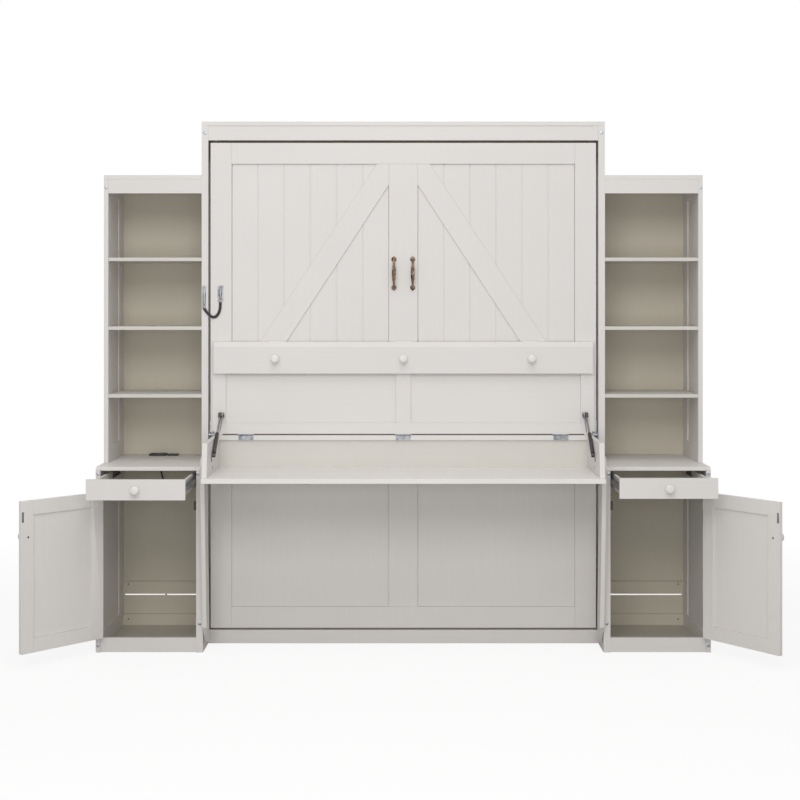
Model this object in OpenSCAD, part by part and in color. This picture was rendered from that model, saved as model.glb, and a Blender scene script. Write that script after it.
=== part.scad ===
// Wall bed with a fold-down desk on its face, between two shelf towers on cupboard bases.
// It stands in this pose: bed raised, desk lid raised against the bed's face, both cupboard
// doors open and both drawers pulled out.
// Millimetres, +Z up, the front faces -Y. The origin is on the floor, in the middle of the
// centre cabinet's footprint. Most pieces are drawn on the +X side and mirrored.

/* [Centre cabinet] */
// Clear width between the cabinet's two sides
bay_w = 1664; // [1600:2:2000]
// Height of the centre cabinet
cabinet_h = 2225; // [2150:5:2700]
// Depth of the centre cabinet and the towers
cabinet_d = 380; // [370:5:480]
// Thickness of the centre cabinet's sides
side_t = 28; // [22:1:36]
// Thickness of rails, toe boards and top boards
board_t = 18; // [12:1:24]
// Height of the rail under the cabinet's top
top_rail_h = 62; // [40:1:90]
// Height of the centre toe board
toe_h = 57; // [40:1:70]
// Height of each wall rail at the back
wall_rail_h = 120; // [80:5:160]
// Distance between the wall bolts, side to side
wall_bolt_pitch = 1200; // [800:10:1400]
// Radius of the wall bolt holes
wall_bolt_r = 4; // [3:0.5:6]

/* [Towers] */
// Clear width inside a tower
tower_w = 398; // [330:1:600]
// Height of the towers
tower_h = 1997; // [1750:1:2400]
// Thickness of a tower's outer side
tower_side_t = 19; // [15:1:25]
// Depth to which the outer sides' panels lie back from their frames, on each face
side_panel_in = 4.5; // [2:0.5:6]
// Height of the rail under a tower's top
tower_rail_h = 60; // [40:1:80]
// Thickness of the shelves
shelf_t = 15; // [12:1:25]
// Heights of the shelves' top faces
shelf_tops = [1062, 1351, 1645];
// Thickness of the back panels
back_t = 8; // [4:1:12]
// Distance from the back panels' rear face to the cabinet's back
back_inset = 34; // [20:1:36]

/* [Cupboard bases] */
// Height of the counters
base_h = 770; // [640:5:950]
// How far the bases stand out in front of the centre cabinet
base_out = 166; // [120:1:200]
// Thickness of the counters
counter_t = 16; // [12:1:25]
// Height of the bases' toe boards
base_toe_h = 60; // [40:1:80]
// Thickness of the bases' floor boards
base_floor_t = 6; // [5:1:18]
// Height of the rails across a base's back
back_rail_h = 56; // [40:1:70]
// Height of the cable slit across a base's back
slit_h = 8; // [7:0.5:14]
// Height of the cable slit's lower edge
slit_z = 138; // [120:1:260]

/* [Doors and drawers] */
// Thickness of the doors
door_t = 19; // [16:1:24]
// Width of a door's frame members
door_frame_w = 57; // [40:1:75]
// Thickness of the doors' panels
door_panel_t = 8; // [5:1:12]
// Angle at which the left door stands open
left_door_angle = 132; // [0:1:140]
// Angle at which the right door stands open
right_door_angle = 127; // [0:1:140]
// Height of the drawer fronts
drawer_h = 82; // [70:1:120]
// Thickness of the drawer fronts
drawer_front_t = 18; // [14:1:24]
// Length of the drawer boxes and their slides
drawer_l = 400; // [330:5:440]
// Thickness of the drawer boxes' boards
drawer_t = 12; // [9:1:15]
// How far the left drawer stands out
left_pull = 290; // [0:1:340]
// How far the right drawer stands out
right_pull = 243; // [0:1:340]
// Radius of the knobs
knob_r = 18; // [12:1:24]
// Height of the drawer slides
slide_h = 32; // [26:1:45]

/* [Bed] */
// Thickness of the bed's face frame
face_t = 20; // [16:1:24]
// Gap between the bed's face and the cabinet on each side
face_gap = 10; // [6:1:14]
// Width of the face's outer stiles and rails
stile_w = 90; // [70:1:120]
// Width of the face's centre stile
centre_stile_w = 122; // [100:1:160]
// Planks on each side of the centre stile
plank_n = 6; // [4:1:8]
// Thickness of the planks
plank_t = 12; // [8:1:13]
// Depth of the bevel along each plank's front edges
plank_bevel = 3; // [1:0.5:4]
// Width of the diagonal braces
brace_w = 92; // [60:1:120]
// Lean of the diagonal braces from upright
brace_angle = 33.2; // [28:0.1:38]
// Depth of the bed's side rails behind the face
bed_rail_d = 180; // [140:5:180]
// Thickness of the bed's side rails
bed_rail_t = 20; // [16:1:30]
// Thickness of the bed's end rails
bed_end_t = 12; // [10:1:18]
// Slats across the bed
slat_n = 14; // [10:1:18]
// Width of a slat
slat_w = 60; // [45:1:90]
// Thickness of a slat
slat_t = 12; // [9:1:18]
// Height of the bed's pivot above the floor
pivot_z = 300; // [290:1:340]
// Distance of the bed's pivot behind the face's front
pivot_in = 67; // [60:1:80]
// Radius of the main pivot pins
pivot_r = 8; // [6:0.5:10]
// Height of the middle of the pull handles
pull_z = 1577; // [1450:1:1700]
// Distance between a pull handle's two feet
pull_span = 120; // [90:1:150]

/* [Desk] */
// Height of the lid's hinge line
hinge_z = 890; // [850:1:950]
// Length of the lid from its hinge line to its free edge
lid_l = 396; // [360:1:420]
// Thickness of the lid
lid_t = 20; // [18:1:24]
// Half of the lid's width
lid_half = 811; // [806:0.5:811]
// Half of the desktop's width
desk_half = 804; // [780:1:804]
// Height from the desktop's top to the lid's hinge line
desk_h = 138; // [120:1:150]
// Thickness of the desktop
desktop_t = 19; // [16:1:30]
// Thickness of the desk's cheeks
cheek_t = 20; // [16:1:24]
// Thickness of the board that hangs from the lid's free edge
fascia_t = 18; // [15:1:22]
// Length of a lid hinge
lid_hinge_l = 64; // [50:1:90]
// Distance of the outer lid hinges from the middle
lid_hinge_x = 669; // [550:1:690]
// Distance of the outer fascia knobs from the middle
fascia_knob_x = 543; // [400:1:650]

/* [Swing arms] */
// Thickness of the arms
arm_t = 17; // [14:1:17]
// How far the arms' lower pivot lies in front of the bed's pivot
arm_ahead = 207; // [190:1:215]
// How far the arms' lower pivot lies below the bed's pivot
arm_below = 115; // [105:1:120]
// Radius of an arm's top end
arm_end_r = 48; // [35:1:48]

/* [Lid struts and bed lifts] */
// Radius of a lid strut's cylinder
strut_r = 8; // [6:0.5:8]
// Length of a lid strut's cylinder
strut_cylinder_l = 126; // [122:1:130]
// Radius of a bed lift's cylinder
lift_r = 8.5; // [7:0.5:8.5]
// Length of a bed lift's cylinder
lift_cylinder_l = 294; // [270:1:320]

/* [Power cord] */
// Diameter of the power cord
cord_d = 6.5; // [5:0.5:7]
// Height of the power outlet on the left counter
outlet_h = 10; // [8:1:20]

/* [Hidden] */
$fn = 48;
seam = 0.2; // joint line between two boards that are glued together
clear = 0.3; // gap between two pieces that pass each other closely
pin_clear = 0.05; // radial clearance of a pin in its bore

front = -cabinet_d / 2;
rear = cabinet_d / 2;
bay = bay_w / 2;
outer = bay + side_t;
tower_in = outer + tower_w;
tower_out = tower_in + tower_side_t;
top_z = cabinet_h - board_t;
tower_top_z = tower_h - board_t;
back_y = rear - back_inset - back_t;
base_front = front - base_out;
counter_z = base_h - counter_t;
side_stile_w = 57;
side_rear_w = 140;
side_rail_h = 73;

// bed
face = bay - face_gap;
face_back = front + face_t;
bed_z0 = toe_h + 9;
bed_z1 = top_z - top_rail_h - 11;
pivot = [front + pivot_in, pivot_z];
bed_side = bay - 42;
mid_rail = [hinge_z - 150, hinge_z + 10];
plank_in = centre_stile_w / 2;
plank_out = face - stile_w;
plank_w = (plank_out - plank_in) / plank_n;
slat_y = face_back + 40;
pull_x = 40;
pull_reach = 35;

// desk, measured from the lid's hinge line
hinge_y = front - lid_t - 2;
desk_plate = desk_half + 3;
lid_rail_w = 51;
lid_stile_w = 57;
lid_gap = 0.5;
leaf_t = 1.6;
knuckle_r = 3.5;
hinge_pin_r = 1.5;
hinge_xs = [-lid_hinge_x, 0, lid_hinge_x];
back_board_y = lid_t - 12;
fascia_z = lid_l;
fascia_y = -1.5;
fascia_h = desk_h - 4;
fascia_hinge_xs = [-540, 0, 540];
fascia_knuckle_r = 4;
fascia_knob_z = fascia_z - 70;
fascia_leaf_l = 90;
cheek_top_in = 27;

// level linkage: the arms' pivots repeat the bed's pivot and the hinge line
arm_low = [pivot[0] - arm_ahead, pivot[1] - arm_below];
arm_high = [hinge_y - arm_ahead, hinge_z - arm_below];
arm_in = lid_half + 1;
arm_out = arm_in + arm_t;

// lid struts, in one plane inside each cheek
strut_x = desk_half - cheek_t - 9;
strut_half = 7;
lid_stud = [hinge_y - 25, hinge_z + 85];
cheek_stud = [hinge_y - 240, hinge_z - 62];
strut_run = cheek_stud - lid_stud;
strut_l = norm(strut_run);
strut_angle = atan2(strut_run[1], strut_run[0]);
strut_start = strut_l - 14.4 - strut_cylinder_l;
strut_rod_r = 4;
strut_link_t = 2.4;
strut_link_w = 16;
strut_link_l = 100;
stud_r = 4;

// bed lifts, in one plane between the bed's side rails and the cabinet's sides
lift_x = bay - 26;
lift_half = 9;
lift_top = [pivot[0] - 20, pivot[1] + 400];
lift_foot = [pivot[0] + 80, pivot[1] - 160];
lift_run = lift_foot - lift_top;
lift_l = norm(lift_run);
lift_angle = atan2(lift_run[1], lift_run[0]);
lift_rod_r = 5;
lift_start = 6;

// doors, closed, on the +X side
door_in = outer + 2.5;
door_out = tower_in - 2.5;
door_z0 = base_toe_h + 4;
door_z1 = counter_z - drawer_h - 4;
door_pivot_x = tower_in - 1.25;
door_pivot_y = base_front - 3.8;
door_hinge_l = 60;
door_hinge_zs = [door_z0 + 70, door_z1 - 130];
door_knob_in = 31;
door_knob_z = door_z1 - 144;
catch_z = door_z1 - 80;

// drawers, closed, on the +X side
drawer_z1 = counter_z - 2;
drawer_z0 = drawer_z1 - drawer_h;
drawer_y = base_front + drawer_front_t;
slide_w = 15;
box_in = outer + slide_w;
box_out = tower_in - slide_w;
box_z0 = drawer_z0 + 8;
box_z1 = drawer_z1 - 14;
slide_z = drawer_z0 + 25;
drawer_mid = (outer + tower_in) / 2;

// power outlet, cord, coil and plug on the left
cord_r = cord_d / 2;
cord_pitch = cord_d + 0.6;
outlet_y = [back_y - 53, back_y - 8];
outlet_z = base_h;
cord_start_z = outlet_z - 30;
cord_hole = [-outer - 223, back_y - 33];
cord_back_hole = [-1063.5, 619];
coil_c = [-1032, 306];
coil_r = 40;
coil_turns = 4;
route_in = [
    [-1083, 115, 740], [-1083, 115, 725], [-1084, 115.5, 712], [-1082, 117, 692], [-1077, 120, 671],
    [-1072, 125, 651], [-1068, 132.5, 634.5], [-1065, 142.5, 623.5], [-1063.5, 152, 619],
    [-1063, 161, 616.5], [-1063.3, 169.5, 610], [-1064, 176.5, 599], [-1065, 181.5, 584],
    [-1066, 184, 566], [-1067, 184.5, 545], [-1069, 184.5, 480], [-1071, 184.5, 400],
    [-1072, 184.5, 300], [-1072, 184.5, 200], [-1072, 184.5, 100], [-1072, 184.5, 70],
    [-1072, 184.5, 45],
    [-1072, 186.5, 30], [-1072, 193, 16.5], [-1072, 204, 7.5], [-1072, 218, 3.6],
    [-1072, 240, 3.25], [-1072, 270, 3.25], [-1072, 299.5, 3.25]];
route_out = [
    [-1072, 312.5, 10.35], [-1072, 330, 10.4], [-1071.5, 345, 10.8], [-1071, 356, 11.6],
    [-1071, 364, 12], [-1071, 370, 12]];
plug_at = [-1071, 370, 12];

paint = "#dedbd4";
inside = "#d3cfc6";
steel = "#a9abad";
black = "#1c1c1e";
bronze = "#7a5234";

// ---- shared shapes ----

// a board between two x, two y and two z values
module block(x, y, z) {
    translate([x[0], y[0], z[0]])
        cube([x[1] - x[0], y[1] - y[0], z[1] - z[0]]);
}

// a plate whose outline lies in the y-z plane
module plate_yz(points, x) {
    translate([x[0], 0, 0])
        rotate([90, 0, 90])
            linear_extrude(x[1] - x[0])
                polygon(points);
}

// a plate whose outline lies in the x-z plane
module plate_xz(points, y) {
    translate([0, y[1], 0])
        rotate([90, 0, 0])
            linear_extrude(y[1] - y[0])
                polygon(points);
}

// a round bar along x, through the point p in the y-z plane
module bar_x(x, p, r) {
    translate([x[0], p[0], p[1]])
        rotate([0, 90, 0])
            cylinder(h = x[1] - x[0], r = r);
}

// a round bar along y
module bar_y(x, y, z, r) {
    translate([x, y[0], z])
        rotate([-90, 0, 0])
            cylinder(h = y[1] - y[0], r = r);
}

// a round bar in the y-z plane, between the distances s from the point p
module bar_from(x, p, angle, s, r) {
    translate([x, p[0], p[1]])
        rotate([angle - 90, 0, 0])
            translate([0, 0, s[0]])
                cylinder(h = s[1] - s[0], r = r);
}

module left() {
    mirror([1, 0, 0])
        children();
}

module both() {
    children();
    left()
        children();
}

module at_hinge() {
    translate([0, hinge_y, hinge_z])
        children();
}

// a turned knob standing out along -Y from the face at y = 0
module knob() {
    rotate([90, 0, 0])
        rotate_extrude()
            polygon([
                [0, 0], [knob_r * 0.55, 0], [knob_r * 0.55, 3], [knob_r * 0.36, 8],
                [knob_r * 0.36, 15], [knob_r * 0.8, 20.5], [knob_r, 24.5], [knob_r * 0.93, 28],
                [knob_r * 0.65, 31], [knob_r * 0.3, 32.7], [0, 33]]);
}

// every second one of a hinge's five knuckles along x, around the point p
module knuckles(x0, length, first, p, r) {
    part = length / 5;
    for (i = [first : 2 : 4])
        bar_x([x0 + i * part + seam / 2, x0 + (i + 1) * part - seam / 2], p, r);
}

// ---- centre cabinet ----

module centre_sides() {
    color(paint)
        both()
            difference() {
                block([bay, outer], [front, rear], [0, top_z]);
                bar_x([bay - 1, bay + 23], pivot, pivot_r + pin_clear);
                bar_x([bay - 1, bay + 12], lift_top, lift_rod_r + pin_clear);
            }
}

module top_boards() {
    color(paint) {
        block([-outer, outer], [front, rear], [top_z, cabinet_h]);
        both()
            block([outer, tower_out], [front, rear], [tower_top_z, tower_h]);
    }
}

module front_rails() {
    color(paint) {
        block([-bay, bay], [front + 2, front + 2 + board_t], [top_z - top_rail_h, top_z]);
        both()
            block([outer, tower_in], [front, front + board_t],
                  [tower_top_z - tower_rail_h, tower_top_z]);
    }
}

module toe_boards() {
    color(paint) {
        block([-bay, bay], [front, front + board_t], [0, toe_h]);
        both()
            block([outer, tower_in], [base_front + 6, base_front + 6 + board_t], [0, base_toe_h]);
    }
}

module floor_boards() {
    color(inside) {
        block([-bay, bay], [front + board_t, rear - board_t - 2], [0, board_t]);
        both()
            block([outer, tower_in], [base_front + 6 + board_t, back_y - 8], [0, base_floor_t]);
    }
}

module wall_rails() {
    color(inside)
        for (z0 = [30, top_z - wall_rail_h])
            difference() {
                block([-bay, bay], [rear - board_t, rear], [z0, z0 + wall_rail_h]);
                for (x = [-1, 1] * wall_bolt_pitch / 2)
                    bar_y(x, [rear - board_t - 1, rear + 1], z0 + wall_rail_h / 2, wall_bolt_r);
            }
}

// ---- towers and bases ----

// the part of an outer side that lies back from its frame, on both faces
module side_panel_recess(y, z) {
    for (x = [[tower_in - 1, tower_in + side_panel_in], [tower_out - side_panel_in, tower_out + 1]])
        block(x, y, z);
}

module tower_sides() {
    color(paint)
        both()
            difference() {
                block([tower_in, tower_out], [front, rear], [base_h, tower_top_z]);
                side_panel_recess([front + side_stile_w, rear - side_rear_w],
                                  [base_h + side_rail_h, tower_top_z - side_rail_h]);
            }
}

module shelves() {
    color(inside)
        both()
            for (z = shelf_tops)
                block([outer, tower_in], [front + 3, back_y], [z - shelf_t, z]);
}

module back_panels() {
    color(inside)
        difference() {
            both() {
                block([outer, tower_in], [back_y, back_y + back_t], [base_h + seam, tower_top_z]);
                block([outer, tower_in], [back_y, back_y + back_t],
                      [slit_z + slit_h + back_rail_h + seam, base_h]);
                block([outer, tower_in], [back_y - 8, back_y + back_t],
                      [slit_z + slit_h, slit_z + slit_h + back_rail_h]);
                block([outer, tower_in], [back_y, back_y + back_t], [back_rail_h + seam, slit_z]);
                block([outer, tower_in], [back_y - 8, back_y + back_t], [0, back_rail_h]);
            }
            bar_y(cord_back_hole[0], [back_y - 1, back_y + back_t + 1], cord_back_hole[1], 10);
        }
}

module base_sides() {
    corner = 12;
    color(paint)
        both() {
            difference() {
                plate_yz([[base_front, 0], [rear, 0], [rear, base_h],
                          [base_front + corner, base_h], [base_front, base_h - corner]],
                         [tower_in, tower_out]);
                side_panel_recess([base_front + side_stile_w, rear - side_rear_w],
                                  [side_rail_h, drawer_z0 - 40]);
            }
            difference() {
                plate_yz([[base_front, 0], [front, 0], [front, base_h],
                          [base_front + corner, base_h], [base_front, base_h - corner]],
                         [bay, outer]);
                bar_x([bay - 1, bay + 23], arm_low, pivot_r + pin_clear);
            }
        }
}

module counters() {
    color(paint)
        difference() {
            both()
                block([outer, tower_in], [base_front + 4, back_y], [counter_z, base_h]);
            translate([cord_hole[0], cord_hole[1], counter_z - 1])
                cylinder(h = counter_t + 2, r = 10);
        }
}

module drawer_rails() {
    groove = slide_h / 2 - 5;
    mid_z = slide_z + slide_h / 2;
    color(black)
        both()
            for (flip = [0, 1])
                translate([flip * 2 * drawer_mid, 0, 0])
                    mirror([flip, 0, 0])
                        difference() {
                            block([outer, outer + 6], [drawer_y + 2, drawer_y + 2 + drawer_l],
                                  [slide_z, slide_z + slide_h]);
                            block([outer + 2, outer + 7],
                                  [drawer_y + 1, drawer_y + 3 + drawer_l],
                                  [mid_z - groove, mid_z + groove]);
                        }
}

module magnet_catches() {
    color("#4a3a2e")
        both()
            block([outer, outer + 13], [base_front + door_t + 0.5, base_front + door_t + 31],
                  [catch_z, catch_z + 34]);
}

// pins, studs and plates that are fixed to the cabinet
module cabinet_hardware() {
    color(steel) {
        both() {
            bar_x([arm_in + 5, bay + 22], arm_low, pivot_r);
            bar_x([arm_out + clear, bay], arm_low, pivot_r + 6);
            bar_x([lift_x - lift_half - 3, bay + 11], lift_top, lift_rod_r);
            bar_x([lift_x + lift_half + clear, bay], lift_top, lift_rod_r + 8);
            bar_x([lift_x - lift_half - 3, lift_x - lift_half - clear], lift_top, lift_rod_r + 4);
        }
        block([-bay - 25, -bay - 9], [front - 2, front], [1430, 1525]);
        both()
            fixed_door_leaves();
    }
}

module fixed_door_leaves() {
    third = door_hinge_l / 3;
    for (z = door_hinge_zs)
        difference() {
            union() {
                block([tower_in - 1, tower_in], [door_pivot_y, base_front + door_t],
                      [z, z + door_hinge_l]);
                translate([door_pivot_x, door_pivot_y, z])
                    cylinder(h = door_hinge_l, r = knuckle_r);
            }
            translate([door_pivot_x, door_pivot_y, z - 1])
                cylinder(h = door_hinge_l + 2, r = hinge_pin_r + pin_clear);
            translate([door_pivot_x, door_pivot_y, z + third - seam])
                cylinder(h = third + 2 * seam, r = knuckle_r + clear);
        }
}

// ---- power outlet and cord ----

module power_outlet() {
    color(black) {
        block([cord_hole[0] - 52, cord_hole[0] + 26], outlet_y, [outlet_z, outlet_z + outlet_h]);
        translate([cord_hole[0], cord_hole[1], cord_start_z])
            cylinder(h = outlet_z - cord_start_z + 1, r1 = 4.2, r2 = 6.5);
        block([cord_hole[0] + 31, cord_hole[0] + 78], outlet_y, [outlet_z, outlet_z + outlet_h]);
    }
}

function unit(v) = v / norm(v);

// the direction of a path at its point i
function along(path, i) =
    unit(path[min(i + 1, len(path) - 1)] - path[max(i - 1, 0)]);

// a side direction for each point of a path, turned as little as possible from ring to ring
function side_directions(path, first) = [
    for (i = 0, n = unit(first - (first * along(path, 0)) * along(path, 0));
         i < len(path);
         i = i + 1,
         n = i < len(path) ? unit(n - (n * along(path, i)) * along(path, i)) : n)
        n];

// a round tube along a path: one ring of points for each point of the path
module tube(path, r, sides, first) {
    normals = side_directions(path, first);
    points = [
        for (i = [0 : len(path) - 1], k = [0 : sides - 1])
            let (n = normals[i], b = cross(along(path, i), n), a = 360 * k / sides)
                path[i] + r * (cos(a) * n + sin(a) * b)];
    last = (len(path) - 1) * sides;
    faces = concat(
        [for (k = [1 : sides - 2]) [0, k, k + 1]],
        [for (k = [1 : sides - 2]) [last, last + k + 1, last + k]],
        [for (i = [0 : len(path) - 2], k = [0 : sides - 1])
            let (a = i * sides + k, b = i * sides + (k + 1) % sides)
                [a, a + sides, b]],
        [for (i = [0 : len(path) - 2], k = [0 : sides - 1])
            let (a = i * sides + k, b = i * sides + (k + 1) % sides)
                [b, a + sides, b + sides]]);
    polyhedron(points = points, faces = faces);
}

// the coil: turns spiral inwards on the floor, climb while the spiral reverses, and spiral out
coil_steps = 24;
function coil_radius(t) = coil_r - cord_pitch * min(t, coil_turns - t);
function coil_height(t) = cord_r + cord_pitch * min(1, max(0, 2 * t - coil_turns + 0.5));
function coil_point(t) = [
    coil_c[0] - coil_radius(t) * cos(360 * t),
    coil_c[1] + coil_radius(t) * sin(360 * t),
    coil_height(t)];
coil_path = concat(
    [[coil_c[0] - coil_r, coil_c[1] - cord_d, cord_r]],
    [for (i = [0 : coil_steps * coil_turns]) coil_point(i / coil_steps)],
    [[coil_c[0] - coil_r, coil_c[1] + cord_d, cord_r + cord_pitch]]);
coil_gap = min([
    for (i = [0 : len(coil_path) - 1], j = [i + 12 : 1 : len(coil_path) - 1])
        norm(coil_path[i] - coil_path[j])]) - cord_d;
echo(least_gap_of_coil = coil_gap);

module power_cord() {
    color(black)
        tube(route_in, cord_r, 10, [1, 0, 0]);
}

module cord_coil() {
    color(black)
        tube(coil_path, cord_r, 6, [0, 0, 1]);
}

module cord_tail() {
    color(black)
        tube(route_out, cord_r, 10, [0, 0, 1]);
}

module cord_plug() {
    color(black)
        translate(plug_at) {
            block([-15, 15], [6, 36], [-12, 12]);
            rotate([-90, 0, 0])
                cylinder(h = 7, r = 6);
            for (x = [-6.5, 5])
                block([x, x + 1.5], [35, 53], [-3, 3]);
        }
}

// ---- bed ----

module bed_face_frame() {
    y = [front, face_back];
    inner = face - stile_w - seam;
    color(paint) {
        both()
            block([face - stile_w, face], y, [bed_z0, bed_z1]);
        block([-inner, inner], y, [bed_z1 - stile_w, bed_z1]);
        block([-inner, inner], y, mid_rail);
        block([-inner, inner], y, [bed_z0, bed_z0 + stile_w]);
        block([-plank_in, plank_in], y, [mid_rail[1] + seam, bed_z1 - stile_w - seam]);
        block([-plank_in, plank_in], y, [bed_z0 + stile_w + seam, mid_rail[0] - seam]);
    }
}

module bed_planks() {
    y0 = front + 6;
    b = plank_bevel;
    color(paint)
        both()
            for (i = [0 : plank_n - 1])
                translate([plank_in + i * plank_w + seam, 0, mid_rail[1] + seam])
                    linear_extrude(bed_z1 - stile_w - mid_rail[1] - 2 * seam)
                        polygon([[b, y0], [plank_w - seam - b, y0], [plank_w - seam, y0 + b],
                                 [plank_w - seam, y0 + plank_t], [0, y0 + plank_t], [0, y0 + b]]);
}

module bed_braces() {
    top = bed_z1 - stile_w - seam;
    lean = tan(brace_angle);
    inner = plank_in + seam;
    outside = plank_out - seam;
    reach = brace_w / cos(brace_angle);
    across = 52;
    color(paint)
        both()
            intersection() {
                plate_xz([[inner, top], [inner + across, top],
                          [outside, top - (outside - inner - across) / lean],
                          [outside, top - (outside - inner - across + reach) / lean],
                          [inner, top - (reach - across) / lean]], [front, front + 6]);
                block([inner, outside], [front, front + 6], [mid_rail[1] + seam, top]);
            }
}

module bed_lower_panels() {
    color(paint)
        both()
            block([plank_in + seam, plank_out - seam], [front + 7, front + 14],
                  [bed_z0 + stile_w + seam, mid_rail[0] - seam]);
}

module bed_rails() {
    y = [face_back, face_back + bed_rail_d];
    color(inside) {
        both()
            block([bed_side - bed_rail_t, bed_side], y, [bed_z0 + 2, bed_z1 - 2]);
        for (z = [bed_z0 + 2, bed_z1 - 2 - bed_end_t])
            block([-bed_side + bed_rail_t + seam, bed_side - bed_rail_t - seam], y,
                  [z, z + bed_end_t]);
    }
}

module bed_centre_beam() {
    color(inside)
        block([-20, 20], [face_back, slat_y], [bed_z0 + 2 + bed_end_t, bed_z1 - 2 - bed_end_t]);
}

module bed_slats() {
    low = bed_z0 + 2 + bed_end_t + 40;
    high = bed_z1 - 2 - bed_end_t - 40 - slat_w;
    reach = bed_side - bed_rail_t;
    color(inside)
        for (i = [0 : slat_n - 1])
            block([-reach, reach], [slat_y, slat_y + slat_t],
                  [low + i * (high - low) / (slat_n - 1),
                   low + i * (high - low) / (slat_n - 1) + slat_w]);
}

module bed_pull_handles() {
    foot_r = 14;
    color(bronze)
        both()
            translate([pull_x, front, pull_z]) {
                for (z = [-1, 1] * pull_span / 2) {
                    bar_y(0, [-5, 0], z, foot_r);
                    bar_y(0, [-pull_reach, -4], z, 4);
                }
                handle_bar();
            }
}

// a pull handle's bar: slim at its ends, swollen in the middle
module handle_bar() {
    half = pull_span / 2;
    translate([0, -pull_reach, 0])
        rotate_extrude()
            polygon([[0, -half - 5], [4, -half - 3], [4, -half + 12], [7, -half + 24], [9, -12],
                     [9, 12], [7, half - 24], [4, half - 12], [4, half + 3], [0, half + 5]]);
}

// pins, plates and studs that are fixed to the bed
module bed_hardware() {
    color(steel) {
        both() {
            bar_x([bed_side, bay + 22], pivot, pivot_r);
            block([bed_side, bed_side + 3], [pivot[0] - 45, pivot[0] + 75],
                  [pivot[1] - 50, pivot[1] + 50]);
            bar_x([bed_side, lift_x - lift_half - clear], lift_foot, 9);
            bar_x([face, face + 3], [hinge_y, hinge_z], 12);
            block([face, face + 3], [hinge_y, face_back - 2], [hinge_z - 10, hinge_z + 10]);
            block([face, face + 3], [front, face_back - 2], [hinge_z - 60, hinge_z + 60]);
            bar_x([desk_half + seam, face + 1], [hinge_y, hinge_z], 5);
            bar_x([desk_plate + clear, face], [hinge_y, hinge_z], 9);
        }
        block([-face + 30, -face + 54], [front - 2, front], [1458, 1525]);
    }
}

// a webbing strap across the gap, from the cabinet's plate to the bed's plate
strap_w = 12;
strap_points = [
    [-bay - 17, 1437], [-bay - 15, 1425], [-bay + 2, 1404], [-bay + 19, 1390],
    [-face + 25, 1394], [-face + 37, 1410], [-face + 42, 1434], [-face + 42, 1464]];
function strap_edge(i, side) =
    let (d = along(strap_points, i)) strap_points[i] + side * strap_w / 2 * [-d[1], d[0]];

module safety_strap() {
    last = len(strap_points) - 1;
    color(black)
        plate_xz(concat([for (i = [0 : last]) strap_edge(i, 1)],
                        [for (i = [last : -1 : 0]) strap_edge(i, -1)]),
                 [front - 5.8, front - 2.3]);
}

// ---- desk ----

module desktop() {
    color(paint)
        at_hinge()
            block([-desk_half, desk_half], [-lid_l - fascia_t, back_board_y],
                  [-desk_h - desktop_t, -desk_h]);
}

module desk_back_board() {
    color(inside)
        at_hinge()
            block([-desk_half, desk_half], [back_board_y, lid_t],
                  [-desk_h - desktop_t, -22 - seam]);
}

module lid_hinge_rail() {
    inner = desk_half - cheek_t;
    color(paint)
        at_hinge()
            difference() {
                block([-inner, inner], [0, lid_t], [-22, -lid_gap]);
                for (x = hinge_xs)
                    bar_x([x - lid_hinge_l / 2 - 1, x + lid_hinge_l / 2 + 1], [0, 0],
                          knuckle_r + clear);
            }
}

module desk_cheeks() {
    bottom_front = -lid_l + 5;
    color(paint)
        difference() {
            at_hinge()
                both()
                    plate_yz([[back_board_y, -desk_h], [bottom_front, -desk_h],
                              [bottom_front + cheek_top_in, -lid_gap], [back_board_y, -lid_gap]],
                             [desk_half - cheek_t, desk_half]);
            both()
                bar_x([desk_half - cheek_t - 1, desk_half + 1], arm_high, pivot_r + pin_clear);
        }
}

// hinge leaves, pivot plates, pins and studs that are fixed to the desk
module desk_hardware() {
    color(steel) {
        at_hinge()
            for (x = hinge_xs)
                desk_leaf(x - lid_hinge_l / 2);
        both() {
            difference() {
                at_hinge()
                    union() {
                        bar_x([desk_half, desk_plate], [0, 0], 12);
                        block([desk_half, desk_plate], [-80, back_board_y], [-34, -4]);
                    }
                bar_x([desk_half - 1, desk_plate + 1], [hinge_y, hinge_z], 5 + pin_clear);
            }
            bar_x([desk_half - cheek_t, arm_out + 2.3], arm_high, pivot_r);
            bar_x([desk_half, arm_in - clear], arm_high, pivot_r + 6);
            bar_x([arm_out + clear, arm_out + 2.3], arm_high, pivot_r + 6);
            bar_x([strut_x + strut_half + clear, desk_half - cheek_t], cheek_stud, stud_r + 1);
        }
    }
}

module desk_leaf(x0) {
    difference() {
        union() {
            block([x0, x0 + lid_hinge_l], [-leaf_t, 0], [-22, -2]);
            knuckles(x0, lid_hinge_l, 0, [0, 0], knuckle_r);
        }
        for (i = [1, 3])
            bar_x([x0 + i * lid_hinge_l / 5 - seam, x0 + (i + 1) * lid_hinge_l / 5 + seam],
                  [0, 0], knuckle_r + clear);
        bar_x([x0 - 1, x0 + lid_hinge_l + 1], [0, 0], hinge_pin_r + pin_clear);
    }
}

// ---- swing arms ----

module arm(x) {
    difference() {
        union() {
            plate_yz([[arm_low[0] - 60, arm_low[1] - 75], [arm_low[0] + 8, arm_low[1] - 148],
                      [arm_low[0] + 28, arm_low[1] - 150],
                      [arm_low[0] + 22, arm_low[1]], [arm_high[0] + arm_end_r, arm_high[1]],
                      [arm_high[0] - arm_end_r, arm_high[1]]], x);
            bar_x(x, arm_high, arm_end_r);
        }
        bar_x([x[0] + 4, x[1] + 1], arm_low, pivot_r + pin_clear);
        bar_x([x[0] - 1, x[1] + 1], arm_high, pivot_r + 2 * pin_clear);
    }
}

module left_arm() {
    color(paint)
        left()
            arm([arm_in, arm_out]);
}

module right_arm() {
    color(paint)
        arm([arm_in, arm_out]);
}

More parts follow.
